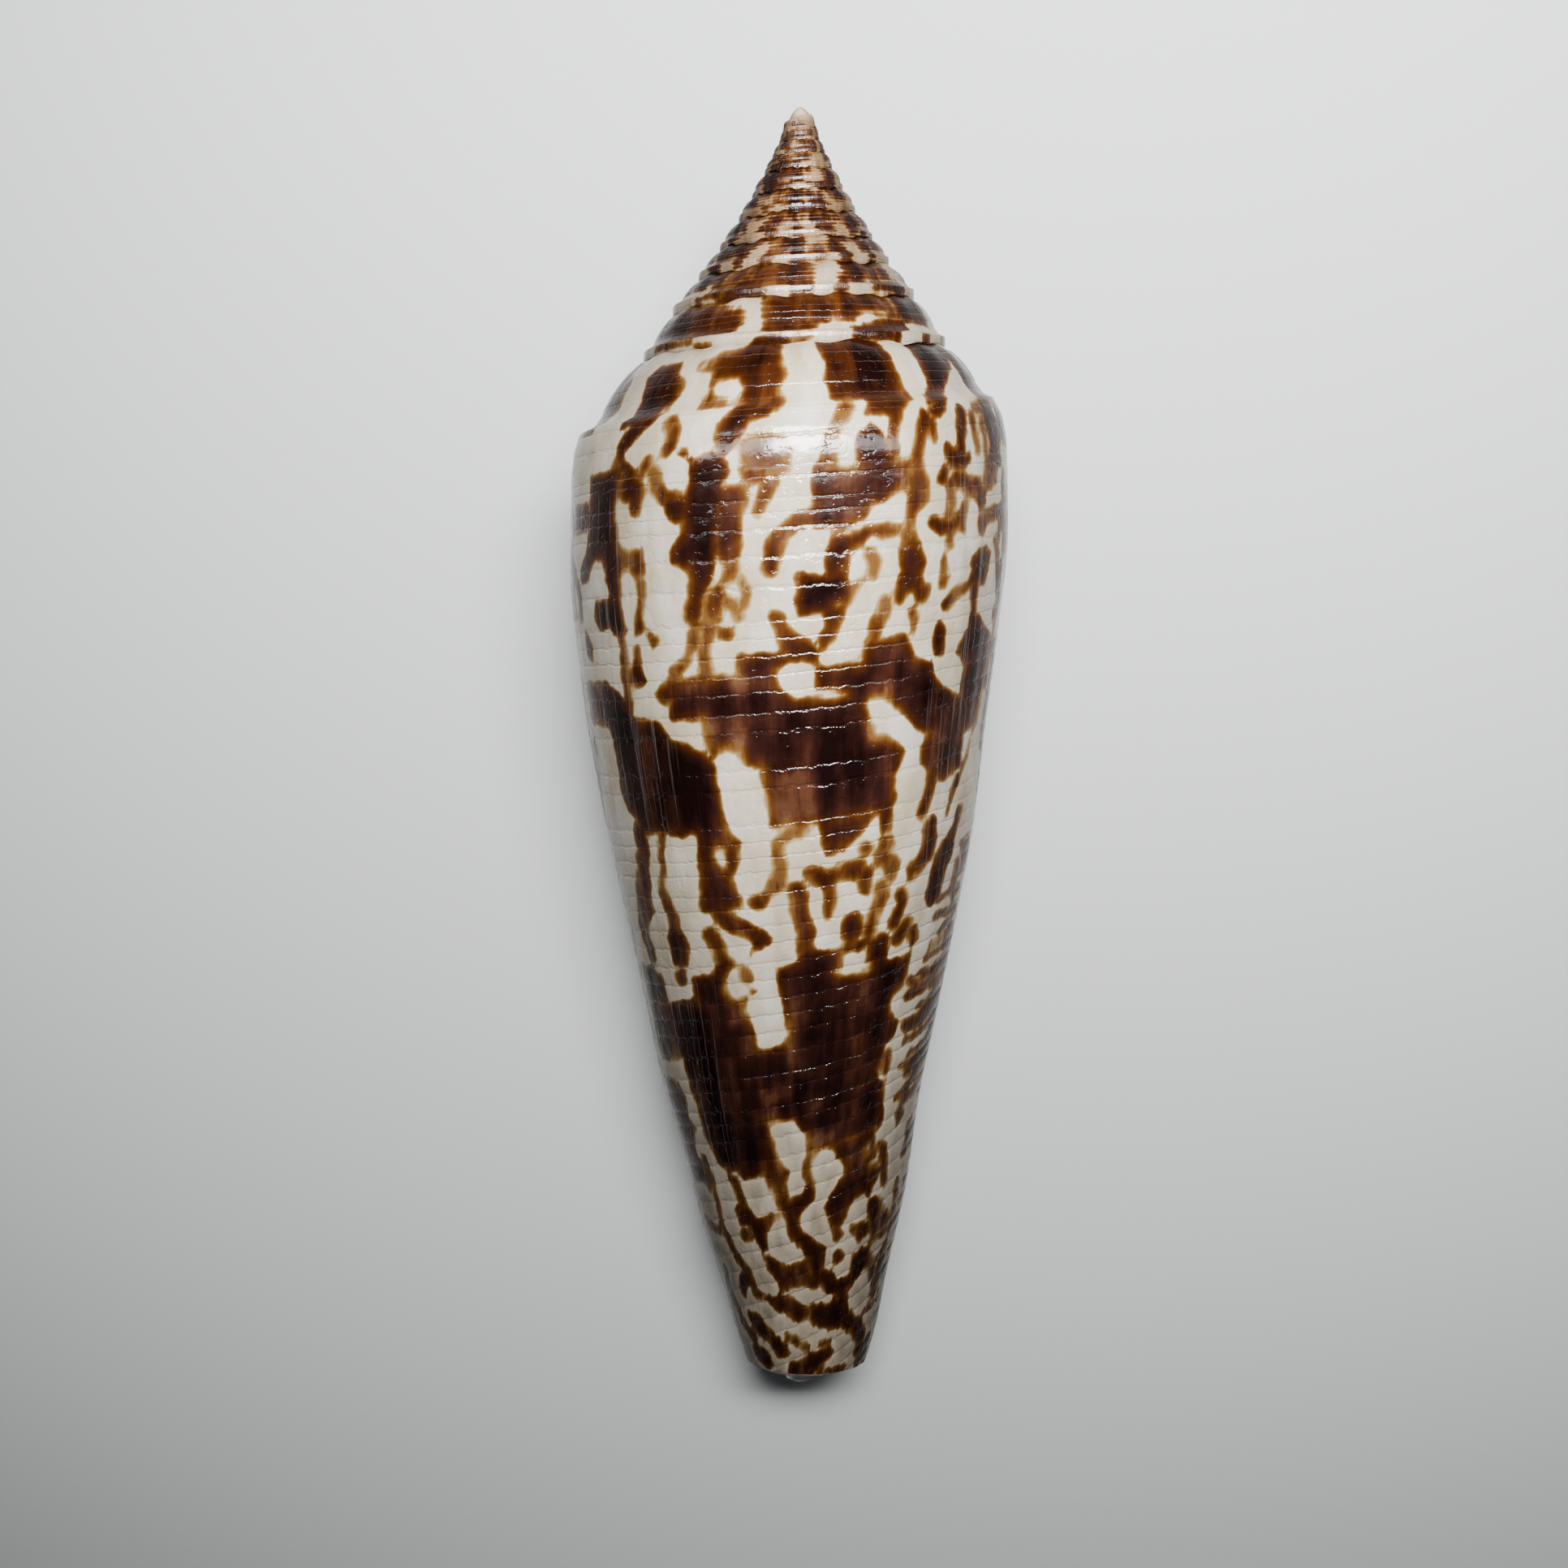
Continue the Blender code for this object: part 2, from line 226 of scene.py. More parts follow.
def add_sheet(name, points):
    """A grid whose vertices are moved to points, an array of rows and columns."""
    rows, columns = points.shape[:2]
    bpy.ops.object.select_all(action="DESELECT")
    bpy.ops.mesh.primitive_grid_add(x_subdivisions=columns - 1, y_subdivisions=rows - 1, size=1.0)
    sheet = bpy.context.object
    sheet.name = name
    sheet.data.vertices.foreach_set("co", points.reshape(-1))
    return sheet


lower_grooves = np.arange(UPPER_GROOVES[-1] + LOWER_PITCH, LAST_GROOVE, LOWER_PITCH)
grooves = np.concatenate([UPPER_GROOVES, lower_grooves])
body_rows = [SHOULDER, SHOULDER + FIRST_ROW_STEP]
for here, following in zip(grooves[:-1], grooves[1:]):
    gap = following - here
    if here < FINE_ROWS_FROM:
        steps = math.ceil(gap / ROW_SPACING)
        body_rows += list(here + gap * np.arange(steps) / steps)
    else:
        body_rows += [here - FINE_HALF_ROW, here, here + FINE_HALF_ROW, here + gap / 2]
body_rows = np.unique(np.round(body_rows, 3))

# Columns stand closer together on the upper side than on the underside
one_turn = np.concatenate([
    np.linspace(LIP_ANGLE - TURN, TOP_SIDE[0], OTHER_COLUMNS * 2 // 3, endpoint=False),
    np.linspace(TOP_SIDE[0], TOP_SIDE[1], TOP_COLUMNS, endpoint=False),
    np.linspace(TOP_SIDE[1], LIP_ANGLE, OTHER_COLUMNS // 3, endpoint=False)])
body_angle = np.append(one_turn, LIP_ANGLE)
start, around = np.meshgrid(body_rows, body_angle, indexing="ij")
height = row_height(start, around)
nearest = np.abs(start[..., None] - grooves).min(axis=-1)
ribbon_share = np.interp(start, grooves, np.arange(len(grooves)), left=-0.4)
in_groove = 1 - smooth_step(nearest / smooth_curve(GROOVE_HALF_WIDTHS, start), 0.0, 1.2)
crown = RIBBON_CROWN * (1 - np.abs(np.sin(math.pi * (ribbon_share % 1.0))))
relief = -smooth_curve(GROOVE_DEPTHS, start) * (in_groove + crown)
waves_rise = smooth_step(start, SHOULDER, SHOULDER + WAVES_START)
relief += WAVE_HEIGHT * growth_waves(around, height) * waves_rise
from_lip = np.minimum(LIP_ANGLE - around, around - body_angle[0])
relief *= 1 - smooth_step(height, *SEAM_FADES) * (1 - smooth_step(from_lip, *SEAM_WIDTHS))
relief[0] = 0.0
radius = body_radius(height, around)
radius[0] = spire_radius(keel_height(body_angle))
body_points = place(height, radius + relief, around)

turns_back = TURN * np.arange(WHORLS - 1, -1, -1)[:, None]
ramp_angle = np.append((one_turn - turns_back).reshape(-1), LIP_ANGLE)
outer = keel_height(ramp_angle)
inner = np.where(ramp_angle - TURN < ramp_angle[0], 0.0, keel_height(ramp_angle - TURN))
outer_radius, inner_radius = spire_radius(outer), spire_radius(inner)
rise = np.maximum(outer - inner, LEAST_RISE)
stepped = smooth_step(outer, *FACES_START)
face = face_share(ramp_angle) * stepped
bite = np.minimum(BITE_LIMIT, BITE_SHARE * rise) * stepped
bulge = BULGE_SHARE * rise * stepped * (1 - smooth_step(outer, *BULGE_FADES))
ramp_rows = [(inner, inner_radius)]
for share, stand in FACE_PROFILE:
    ramp_rows.append((inner + share * face * rise, inner_radius + stand * bite))
for rise_share in RAMP_ROWS:
    run_share = float(smooth_curve(RAMP_PROFILE, rise_share))
    groove = RAMP_GROOVE_DEPTH * (rise_share in RAMP_GROOVES) * smooth_step(rise, *RAMP_GROOVES_START)
    run = inner_radius + run_share * (outer_radius - inner_radius) - groove
    run += bulge * math.sin(math.pi * rise_share)
    ramp_rows.append((inner + (face + (1 - face) * rise_share) * rise, run))
ramp_points = np.array([place(h, r, ramp_angle) for h, r in ramp_rows])

# The shell lies on two worn spots, with its apex raised and rolled a little about its axis. Its anterior end
# is the flat face with more corners than END_CORNERS that looks along the axis.
REST_PITCH = math.radians(6.84)
REST_ROLL = math.radians(-1.32)
WEAR_DEPTH = 0.15
END_CORNERS, END_FACING = 8, 0.99

turned = np.array(Euler((REST_PITCH, REST_ROLL, 0.0)).to_matrix())
outside = np.concatenate([body_points[height < ANTERIOR_CUT], ramp_points.reshape(-1, 3)]) @ turned.T
low, high = outside.min(axis=0), outside.max(axis=0)
shift = np.array([-(low[0] + high[0]) / 2, solid_high.y / MM - high[1], -low[2] - WEAR_DEPTH])
fit = np.array([(solid_high.x - solid_low.x) / MM / (high[0] - low[0]), 1.0,
                solid_high.z / MM / (high[2] + shift[2])])


def lay_down(points):
    """Points of the shell's own frame where they are as the shell lies, in metres."""
    return (np.asarray(points, float) @ turned.T + shift) * fit * MM


def corners_of(piece):
    """Where all vertices of a piece are, one row each."""
    co = np.empty(3 * len(piece.data.vertices))
    piece.data.vertices.foreach_get("co", co)
    return co.reshape(-1, 3)


def edit(piece):
    """Opens just this piece in edit mode, with all of it selected."""
    pick(piece)
    bpy.ops.object.mode_set(mode="EDIT")
    bpy.ops.mesh.select_mode(type="VERT")
    bpy.ops.mesh.select_all(action="SELECT")


body = add_sheet("shell_body", lay_down(body_points))
ramps = add_sheet("shell_ramps", lay_down(ramp_points))
pick(body, ramps)
bpy.ops.object.join()
shell = bpy.context.object
shell.name = "cone_shell_surface"
edit(shell)
bpy.ops.mesh.remove_doubles(threshold=MERGE_DISTANCE)
bpy.ops.mesh.select_all(action="DESELECT")
bpy.ops.object.mode_set(mode="OBJECT")
at_tip = np.linalg.norm(corners_of(shell) - lay_down((0.0, 0.0, 0.0)), axis=1) < TIP_RADIUS
shell.data.vertices.foreach_set("select", at_tip)
bpy.ops.object.mode_set(mode="EDIT")
bpy.ops.mesh.delete(type="VERT")
bpy.ops.mesh.select_all(action="SELECT")
bpy.ops.mesh.bisect(plane_co=lay_down((0.0, -ANTERIOR_CUT, 0.0)), plane_no=-turned[:, 1],
                    clear_outer=True, threshold=CUT_THRESHOLD)
bpy.ops.mesh.select_all(action="SELECT")
bpy.ops.mesh.remove_doubles(threshold=MERGE_DISTANCE)
bpy.ops.mesh.select_all(action="DESELECT")
bpy.ops.mesh.select_non_manifold(use_wire=False, use_multi_face=False, use_non_contiguous=False,
                                 use_verts=False)
bpy.ops.mesh.fill_holes(sides=0)
bpy.ops.mesh.select_all(action="SELECT")
bpy.ops.mesh.delete_loose()
bpy.ops.mesh.select_all(action="SELECT")
bpy.ops.mesh.normals_make_consistent(inside=False)
towards_end = turned @ np.array([0.0, -1.0, END_SLOPE])
bpy.ops.mesh.bisect(plane_co=lay_down((0.0, -WALL_END, 0.0)), plane_no=towards_end, use_fill=True,
                    clear_outer=True, threshold=CUT_THRESHOLD)
bpy.ops.mesh.select_all(action="DESELECT")
bpy.ops.object.mode_set(mode="OBJECT")
towards_end = Vector(towards_end).normalized()
anterior_end = [len(polygon.vertices) > END_CORNERS and polygon.normal.dot(towards_end) > END_FACING
                for polygon in shell.data.polygons]
shell.data.polygons.foreach_set("select", anterior_end)
bpy.ops.object.mode_set(mode="EDIT")
bpy.ops.mesh.poke()
bpy.ops.object.mode_set(mode="OBJECT")
tip_corner = len(shell.data.vertices) - 1
shell.data.vertices[tip_corner].co = lay_down((0.0, -SHELL_LENGTH, 0.0))
for material_name in ("patterned_shell", "columella_tip"):
    shell.data.materials.append(bpy.data.materials.new(material_name))
for polygon in shell.data.polygons:
    if tip_corner in polygon.vertices:
        polygon.material_index = 1
worn = corners_of(shell)
worn[:, 2] = np.maximum(worn[:, 2], 0.0)
shell.data.vertices.foreach_set("co", worn.reshape(-1))
shell.data.update()

# Aperture
# Under the shell the lip stands off the turn before it, and a narrow curved space runs up inside from there,
# wider towards the anterior end, where it is open. Inside it the shell is bare white porcelain.

WALL, WALL_AT_END = 1.0, 0.7
LIP_EDGE_WALL, LIP_EDGE_TAPER = 0.5, 0.35
PARIETAL_RISE, PARIETAL_CUT = 0.15, 0.10
COLUMELLA_RADIUS = 1.3
APERTURE_TOP, APERTURE_END = 0.6, 83.0
APERTURE_TURN, APERTURE_TURN_AT_END = 5.4, 4.0
APERTURE_WIDENS_FROM = 55.0
FRONT_MARGIN, MOUTH_SPREAD = 0.08, 1.0
LIP_RECEDES_FROM, LIP_RECESSION = 58.0, 0.75
CUT_CLEARANCE = 1.0
APERTURE_ROWS, APERTURE_COLUMNS, MOUTH_COLUMNS, LIP_COLUMNS = 46, 50, 10, 5
SMOOTH_UP_TO = math.radians(50)


def aperture_points():
    """Rings round a curved slab: up the outer side to the back of the aperture, down the inner side."""
    share = np.linspace(0.0, 1.0, APERTURE_ROWS)[:, None]
    top = keel_height(LIP_ANGLE)
    rough = top + (APERTURE_END - top) * share
    widening = smooth_step(rough, APERTURE_WIDENS_FROM, SHELL_LENGTH)
    lip = LIP_ANGLE - LIP_RECESSION * smooth_step(rough, LIP_RECEDES_FROM, SHELL_LENGTH)
    front = LIP_ANGLE + FRONT_MARGIN + MOUTH_SPREAD * widening
    back = LIP_ANGLE - APERTURE_TURN - (APERTURE_TURN_AT_END - APERTURE_TURN) * widening
    mouth = front + (lip + FRONT_MARGIN / 2 - front) * np.linspace(0.0, 1.0, MOUTH_COLUMNS)
    inside = lip - LIP_EDGE_TAPER * np.linspace(0.0, 1.0, LIP_COLUMNS)
    further = inside[:, -1:] + (back - inside[:, -1:]) * np.linspace(0.0, 1.0, APERTURE_COLUMNS)[1:]
    angle = np.hstack([mouth, inside, further])
    top = keel_height(angle) + APERTURE_TOP
    height = top + (APERTURE_END - top) * share
    thin = WALL + (WALL_AT_END - WALL) * widening
    tapered = LIP_EDGE_WALL + (thin - LIP_EDGE_WALL) * np.clip((lip - angle) / LIP_EDGE_TAPER, 0.0, 1.0)
    wall = np.where(np.arange(angle.shape[1]) < MOUTH_COLUMNS, -CUT_CLEARANCE, tapered)
    below = np.where(np.arange(angle.shape[1]) == 0, PARIETAL_RISE, -PARIETAL_CUT)
    parietal = body_radius(height, angle - TURN) + below
    outer = place(height, body_radius(height, angle) - wall, angle)
    inner = place(height, parietal + (COLUMELLA_RADIUS - parietal) * widening, angle)
    pinch = (outer + inner) / 2
    rows = [outer, inner[:, ::-1], outer[:, :1]]
    first, last = [np.concatenate([pinch[i], pinch[i, ::-1], pinch[i, :1]])[None] for i in (0, -1)]
    first[..., 1] += APERTURE_TOP / 2
    return np.concatenate([first, np.concatenate(rows, axis=1), last])


cutter = add_sheet("aperture_space", lay_down(aperture_points()))
edit(cutter)
bpy.ops.mesh.remove_doubles(threshold=MERGE_DISTANCE)
bpy.ops.mesh.select_all(action="SELECT")
bpy.ops.mesh.normals_make_consistent(inside=False)
bpy.ops.object.mode_set(mode="OBJECT")
cutter.data.materials.append(bpy.data.materials.new("aperture_porcelain"))
cut = shell.modifiers.new("aperture", "BOOLEAN")
cut.operation = "DIFFERENCE"
cut.solver = "EXACT"
cut.material_mode = "TRANSFER"
cut.object = cutter
pick(shell)
bpy.ops.object.modifier_apply(modifier=cut.name)
bpy.data.objects.remove(cutter, do_unlink=True)
bpy.ops.object.shade_smooth_by_angle(angle=SMOOTH_UP_TO)

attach(shell, "root")
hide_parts("cone_shell")

# Colour marks
# Brown pigment was laid down in the shell as it grew: blocks, flames and short crooked lines that step from
# ribbon to ribbon, in three looser bands. Each mark is a tone from 0.3, amber, to 1, nearly black, then a
# half width in mm for a line or 0 for an outline, then its points as degrees round the shell and row.

# A mark of tone CLEAR takes brown away again. Depths are followed to MARK_REACH outside a mark, in mm. The
# rows of the bare faces are counted apart, FACE_SHEET lower. Each ramp has RAMP_STRIAE fine spiral lines.
# Tone zones blend in over ZONE_EDGE mm. Places round the shell are kept on a ring of RING_RADIUS.
CLEAR = 0.0
MARK_REACH = 2.0
FACE_SHEET = 60.0
RAMP_STRIAE = 7.0
ZONE_EDGE = 0.8
FACE_MARGIN = 0.01
RING_RADIUS = 10
MARKS = (
    # The shoulder
    (0.85, 0, ((139.5, 18), (137, 17.3), (134, 16.9), (128, 16.8), (130.5, 17.5), (134, 17.9),
        (137.5, 18.5), (139.5, 19.1), (140.5, 18.7))),
    (0.6, 0, ((126.3, 17.4), (124.5, 17), (123, 17.1), (121.7, 17.9), (122, 18.7), (124, 19.1), (125.6, 19),
        (124.2, 18.6), (124.5, 18), (126, 17.7))),
    (0.8, 0, ((106, 16.8), (97, 16.8), (98, 17.3), (103, 17.5), (105, 18.2), (106.5, 19), (109, 19.1),
        (110.3, 18.5), (110, 17.9), (108, 17.3))),
    (0.55, 0.2, ((140.5, 19.2), (137, 19.6), (134, 20), (131.5, 20.1), (129.6, 19.3))),
    (0.75, 0, ((152, 20), (147, 19.9), (143, 19.7), (140, 19.3), (138.5, 19.8), (139, 20.3), (137, 21.2),
        (140, 21.3), (141, 22), (140, 22.7), (140, 23.4), (138, 23.9), (135, 24.2), (131.2, 24.1),
        (130.6, 25.1), (132.5, 25.6), (135.5, 25), (138, 25.2), (140, 25.6), (141.5, 26), (143.5, 25.4),
        (146, 24.4), (149, 24.2), (152, 24.6), (155, 25.4), (158, 25.4), (158.5, 24.9), (154, 24),
        (153, 22.8), (154, 22), (152, 21.2))),
    (0.55, 0, ((164, 21.3), (155, 21.4), (153, 22), (155, 22.8), (164, 22.6))),
    (0.7, 0, ((138.5, 20.2), (135, 20.1), (132.3, 20.2), (131.2, 20.6), (131.5, 21.3), (132.6, 22.2),
        (134.2, 22), (134.5, 21.3), (138, 21.3))),
    (0.5, 0.26, ((127.5, 20.1), (126.5, 20.9), (124.5, 21.4), (120.5, 21.6))),
    (0.55, 0, ((128.6, 20.4), (126.6, 19.9), (125.8, 20.4), (127, 20.8))),
    (0.85, 0, ((124.5, 21.6), (119.5, 21.4), (118, 21.8), (118.5, 22.6), (121, 22.6), (123.5, 22.3))),
    (0.95, 0, ((120.3, 19.1), (118.5, 19), (117, 19.8), (117.2, 20.9), (118.4, 21.4), (118.6, 23.1),
        (119, 23.6), (121, 24), (122, 24.4), (122.2, 24.9), (119.5, 25), (117.5, 25.2), (116.5, 25.8),
        (117, 26.7), (119.4, 27.6), (119, 28), (115, 27.8), (114, 26.8), (112.5, 26), (111.5, 25.2),
        (111, 24), (110.2, 23.2), (110.2, 22), (109.5, 21), (107.7, 20.5), (108.2, 19.9), (110.5, 19.5),
        (113, 19.4), (116, 19.6), (118, 19.4))),
    (0.6, 0, ((109.5, 21.1), (105.5, 20.9), (103.2, 21), (103.2, 21.9), (104.7, 22.6), (104.8, 23.5),
        (105, 25.5), (106, 26), (108.8, 26), (108.2, 25.2), (109.5, 24.8), (110.5, 24))),
    (0.3, 0, ((104.5, 18.9), (101, 18.5), (94, 18.6), (92.7, 19.5), (93, 20.5), (96, 20.8), (104, 20.7))),
    (0.75, 0, ((104.5, 20.1), (100, 19.7), (97, 20.2), (98, 20.9), (104, 20.9))),
    (0.6, 0, ((99, 20.8), (95, 20.8), (97, 21.7), (99, 22.3), (100, 22.8), (101, 22.6), (100.4, 22))),
    (0.5, 0.26, ((78, 17.3), (80.5, 17.8), (82.5, 18.6), (83, 19.4), (83, 20.3))),
    (0.9, 0, ((86.5, 20.5), (76.5, 20.5), (76, 19.2), (73, 18.3), (70.5, 18.7), (68.3, 19.8), (67.5, 20.4),
        (65, 20.6), (64, 21.7), (67.5, 22), (70, 22.3), (73.5, 22.4), (76, 23.2), (80, 23.8), (86, 23.4),
        (87.3, 22.7), (86, 22.2), (87, 21.2))),
    (0.65, 0.3, ((86, 23.1), (90, 23.1), (93.5, 23.6), (96.3, 24.3), (97, 25.5))),
    (0.9, 0, ((82.5, 24), (76, 23.9), (70, 23.6), (65, 23.7), (65.5, 24), (70, 24.3), (73, 24.1),
        (76, 24.6), (78.5, 25), (79.5, 26), (83, 26.2), (84.6, 25.3), (83.5, 24.5))),
    (0.5, 0.24, ((73.2, 25.1), (72, 25.7), (72.3, 26.3))),
    (0.6, 0, ((72, 16.8), (60, 16.8), (63.8, 17.5), (66, 18.6), (66.4, 19.9), (67.6, 19.8), (68, 18.6),
        (67, 17.9), (70.5, 17.7), (74, 17.7))),
    (0.8, 0, ((57.4, 17.7), (56.2, 18), (58, 19), (58.8, 20.5), (57.5, 21.5), (57.2, 22.5), (59, 22.8),
        (61.3, 23.2), (61.8, 24), (60.3, 24.6), (59, 25.5), (61, 25.6), (63.5, 25), (64.5, 24.2),
        (63.7, 23.4), (62.9, 22.4), (62.6, 21.2), (61.5, 20.2), (60.3, 19.2))),
    (0.6, 0, ((67.5, 20.4), (62.5, 20.4), (62.5, 21.9), (67, 21.8))),
    (0.35, 0.13, ((55.5, 18.2), (54.6, 19.3))),
    (0.65, 0, ((54.5, 17.8), (52.5, 17.3), (49, 16.8), (49.8, 17.4), (52, 17.9))),
    (0.65, 0.3, ((43, 17.8), (44.2, 18.6), (45, 19.5), (45.4, 20.2))),
    (0.65, 0, ((51, 19.5), (49, 19.9), (46, 20.1), (43, 20.2), (41.5, 20), (41.5, 20.6), (44, 20.9),
        (47, 21), (50, 20.5), (51.5, 20))),
    (0.75, 0, ((53.5, 21.4), (52, 20.6), (50.5, 20.8), (51.5, 21.5))),
    (0.7, 0, ((48.5, 21.2), (45, 20.9), (42, 21.3), (38, 21.5), (36, 22.1), (34, 22.8), (36, 23.1),
        (40, 22.4), (44, 22.3), (48, 22))),
    (0.65, 0.26, ((49.5, 21.8), (49, 22.6), (50, 23.3))),
    (0.7, 0, ((45, 22.8), (43.5, 22.6), (44, 23.5), (44.5, 24.4), (46.5, 24.2), (46, 23.3))),
    (0.8, 0.3, ((56, 23.7), (53, 24), (50, 24.1), (47, 23.7))),
    (0.6, 0.18, ((49.5, 24.2), (50, 25))),
    (0.35, 0.18, ((38.6, 18), (39, 19), (38, 20))),
    (0.55, 0, ((38, 17.8), (36, 17.3), (30, 17.1), (22, 16.9), (22, 17.5), (29, 17.6), (33, 17.9))),
    (0.5, 0, ((30.5, 18.3), (27, 18.1), (22, 18.6), (22, 19.7), (30, 19.8))),
    (0.6, 0, ((34, 20.6), (31.5, 20.1), (27, 20.4), (28, 21.5), (30.5, 22.3), (34, 22.3))),
    (0.55, 0, ((38.5, 23.9), (35, 23.4), (31, 23.2), (22, 23.2), (22, 23.9), (30, 24), (34, 24.1),
        (36, 24.7), (38, 24.4))),
    (0.65, 0, ((113, 26.7), (109.5, 26.2), (108, 26.9), (110.3, 27.5), (110, 28), (113, 28.2),
        (113.7, 27.6))),
    (0.5, 0.22, ((108.5, 27), (106.5, 27.3), (105, 27.9))),
    (0.4, 0.14, ((104.5, 26), (103, 26.7), (104, 27.3))),
    # Between the shoulder and the middle band
    (0.8, 0, ((144, 25.5), (140, 25.3), (138.5, 25.7), (138.8, 27), (138, 28.3), (139.5, 28.6),
        (143.5, 28.4), (144, 28), (149, 28.1), (151, 27.6), (149.5, 26.7), (144.5, 26.9), (142.2, 26.4),
        (143, 25.8))),
    (0.6, 0.27, ((140, 28.4), (139.5, 29.6), (140, 30.6), (139.6, 31.7), (140, 32.4))),
    (0.95, 0, ((138.5, 31.2), (138, 30.6), (136, 30.2), (133.6, 30.4), (133.2, 31.1), (135.5, 31.3))),
    (0.45, 0.18, ((135, 29.4), (134.6, 30.2))),
    (0.5, 0, ((132.5, 25.4), (130.6, 25.8), (130.6, 26.5), (132, 27.4), (132, 28.2), (134.5, 28.5),
        (134.3, 27.6), (132.7, 26.6))),
    (0.5, 0, ((130, 28.6), (127.6, 28.8), (129, 29.2))),
    (0.5, 0, ((159, 28.3), (155.5, 29), (156, 29.7), (159.5, 29.2))),
    (0.75, 0, ((118.5, 28.5), (115, 28.3), (115.5, 29), (117.5, 29.6), (118.5, 30.3), (121.5, 30.8),
        (123.8, 31.1), (123.5, 30.4), (120.5, 30), (119, 29.3))),
    (0.55, 0.27, ((112.7, 28), (113.3, 29), (114.4, 29.6), (114.2, 30.4), (113.8, 31.1))),
    (0.45, 0.14, ((109.6, 28.8), (107.2, 28.8))),
    (0.7, 0, ((97.3, 27.9), (95, 28.1), (93.5, 28.8), (91.5, 29.3), (88.5, 29.7), (86.5, 30), (86.5, 31),
        (88.5, 30.9), (91, 30.2), (93, 30.3), (95, 30))),
    (0.95, 0, ((90.5, 25.9), (86, 26.1), (84, 26.2), (80.5, 25.8), (79, 25.9), (79, 26.6), (78.5, 27.1),
        (81, 27.4), (84, 27.9), (90.5, 28), (91, 27.4), (90.3, 26.6))),
    (0.5, 0, ((80, 26.6), (74, 26.4), (76.5, 27.1), (79.5, 27.8), (81, 27.5))),
    (0.7, 0, ((84.5, 27.8), (80.5, 27.9), (81, 28.8), (82.5, 29.4), (84.5, 30), (85.3, 29.5),
        (83.3, 28.8))),
    (0.85, 0, ((65, 25.1), (63, 24.8), (60, 24.9), (58.7, 25.8), (59.5, 26.5), (59, 27.2), (56.7, 27.3),
        (57.5, 27.9), (60, 27.9), (61, 27.2), (63, 27.4), (64.5, 28), (66, 27.8), (65.5, 26.8),
        (64, 26.2))),
    (0.6, 0, ((52.5, 25.8), (51.5, 25.4), (51.4, 26.4), (50.2, 26.8), (51, 27.3), (52.5, 27.3))),
    (0.65, 0, ((43.5, 27.6), (41, 27.2), (40, 26.6), (41, 26), (38, 25.5), (34, 25.5), (31, 25.8),
        (32, 26.8), (34, 27.5), (38, 27.2))),
    (0.65, 0.22, ((50, 28.3), (46.5, 27.8), (43, 27.6))),
    (0.6, 0.26, ((38.5, 27.6), (38, 28.4), (38, 29.5))),
    (0.5, 0.26, ((28, 25.2), (26, 26), (24.5, 27), (22, 27.8))),
    (0.65, 0.27, ((69.2, 27.8), (69, 28.4), (70.5, 29), (71.3, 29.6), (72, 30.3))),
    (0.65, 0, ((62, 28.4), (60.6, 28.3), (59.7, 29), (60.5, 29.6))),
    (0.7, 0, ((53.5, 30), (52, 29.3), (50.2, 29.8), (50.2, 31), (52, 31), (53, 30.6))),
    (0.7, 0, ((43.5, 31), (41, 30.3), (39, 29.8), (37.5, 29.2), (33, 29.6), (28, 30.2), (22, 31), (22, 34),
        (28, 33.5), (33, 33.2), (33.5, 32.3), (38, 32.1), (41, 31.6))),
    (0.35, 0, ((129.5, 31.8), (126, 31.3), (124, 31), (124, 32.3), (127, 32.3))),
    # The middle band
    (0.9, 0, ((124.5, 31.2), (119, 31), (106, 31.1), (105.5, 30), (95, 30), (90, 30.4), (85, 31), (74, 31),
        (73.5, 29.9), (63.2, 29.7), (59.7, 31), (54, 31.5), (50.5, 32.6), (45.8, 33.3), (37, 34), (36, 35),
        (36, 38), (46, 38.3), (49.7, 37.9), (53.5, 37.1), (54.3, 36.25), (52.8, 35.6), (58.2, 34.75),
        (62.8, 33.75), (68.2, 32.9), (73.5, 32.9), (72.8, 33.5), (70.5, 34.5), (70.5, 35), (66.6, 35.4),
        (64.7, 35.75), (61.2, 36.25), (62.4, 36.9), (64, 37.5), (62.4, 38.6), (64.3, 39.25), (64.7, 40.4),
        (67, 40.6), (67.5, 39.3), (99.7, 39.3), (100.5, 37.5), (100.8, 36.1), (104.3, 35.75), (105.8, 35),
        (110, 34.75), (113.5, 35.1), (115, 34.6), (115.8, 33.25), (124.5, 33))),
    (CLEAR, 0, ((96.6, 30.8), (94.5, 30.6), (90, 30.3), (86.5, 30.5), (85.8, 31.5), (85.8, 32), (80, 32.2),
        (78.5, 32.6), (84, 32.75), (91, 32.6), (95.5, 32))),
    (0.95, 0, ((163, 31), (149.7, 31), (141.2, 32.25), (139, 33), (129.7, 33.25), (126.6, 34.25),
        (121.2, 34.6), (117.4, 35), (114.3, 35.75), (113.5, 37), (112.8, 38.5), (112, 39.25), (109.5, 40.1),
        (110.8, 41), (113, 42), (110.5, 43), (111, 43.7), (117, 43.7), (123.2, 43.75), (122.8, 42.5),
        (121.2, 41), (121.2, 39.4), (142, 39.2), (143.5, 38.4), (147.4, 38), (149, 37), (148.2, 35),
        (149.5, 33.5), (163, 33))),
    (CLEAR, 0, ((117.8, 40.8), (115.5, 40.1), (112.6, 40.2), (112.6, 41.2), (115, 41.6))),
    (0.85, 0, ((86, 39.3), (68, 39.3), (73, 40), (79, 41.1), (84, 41.2), (84.3, 40))),
    (0.4, 0.3, ((90.5, 39.5), (93.5, 39.75), (97.4, 40.25), (98.2, 40.9), (97.4, 41.5), (98.2, 42.25),
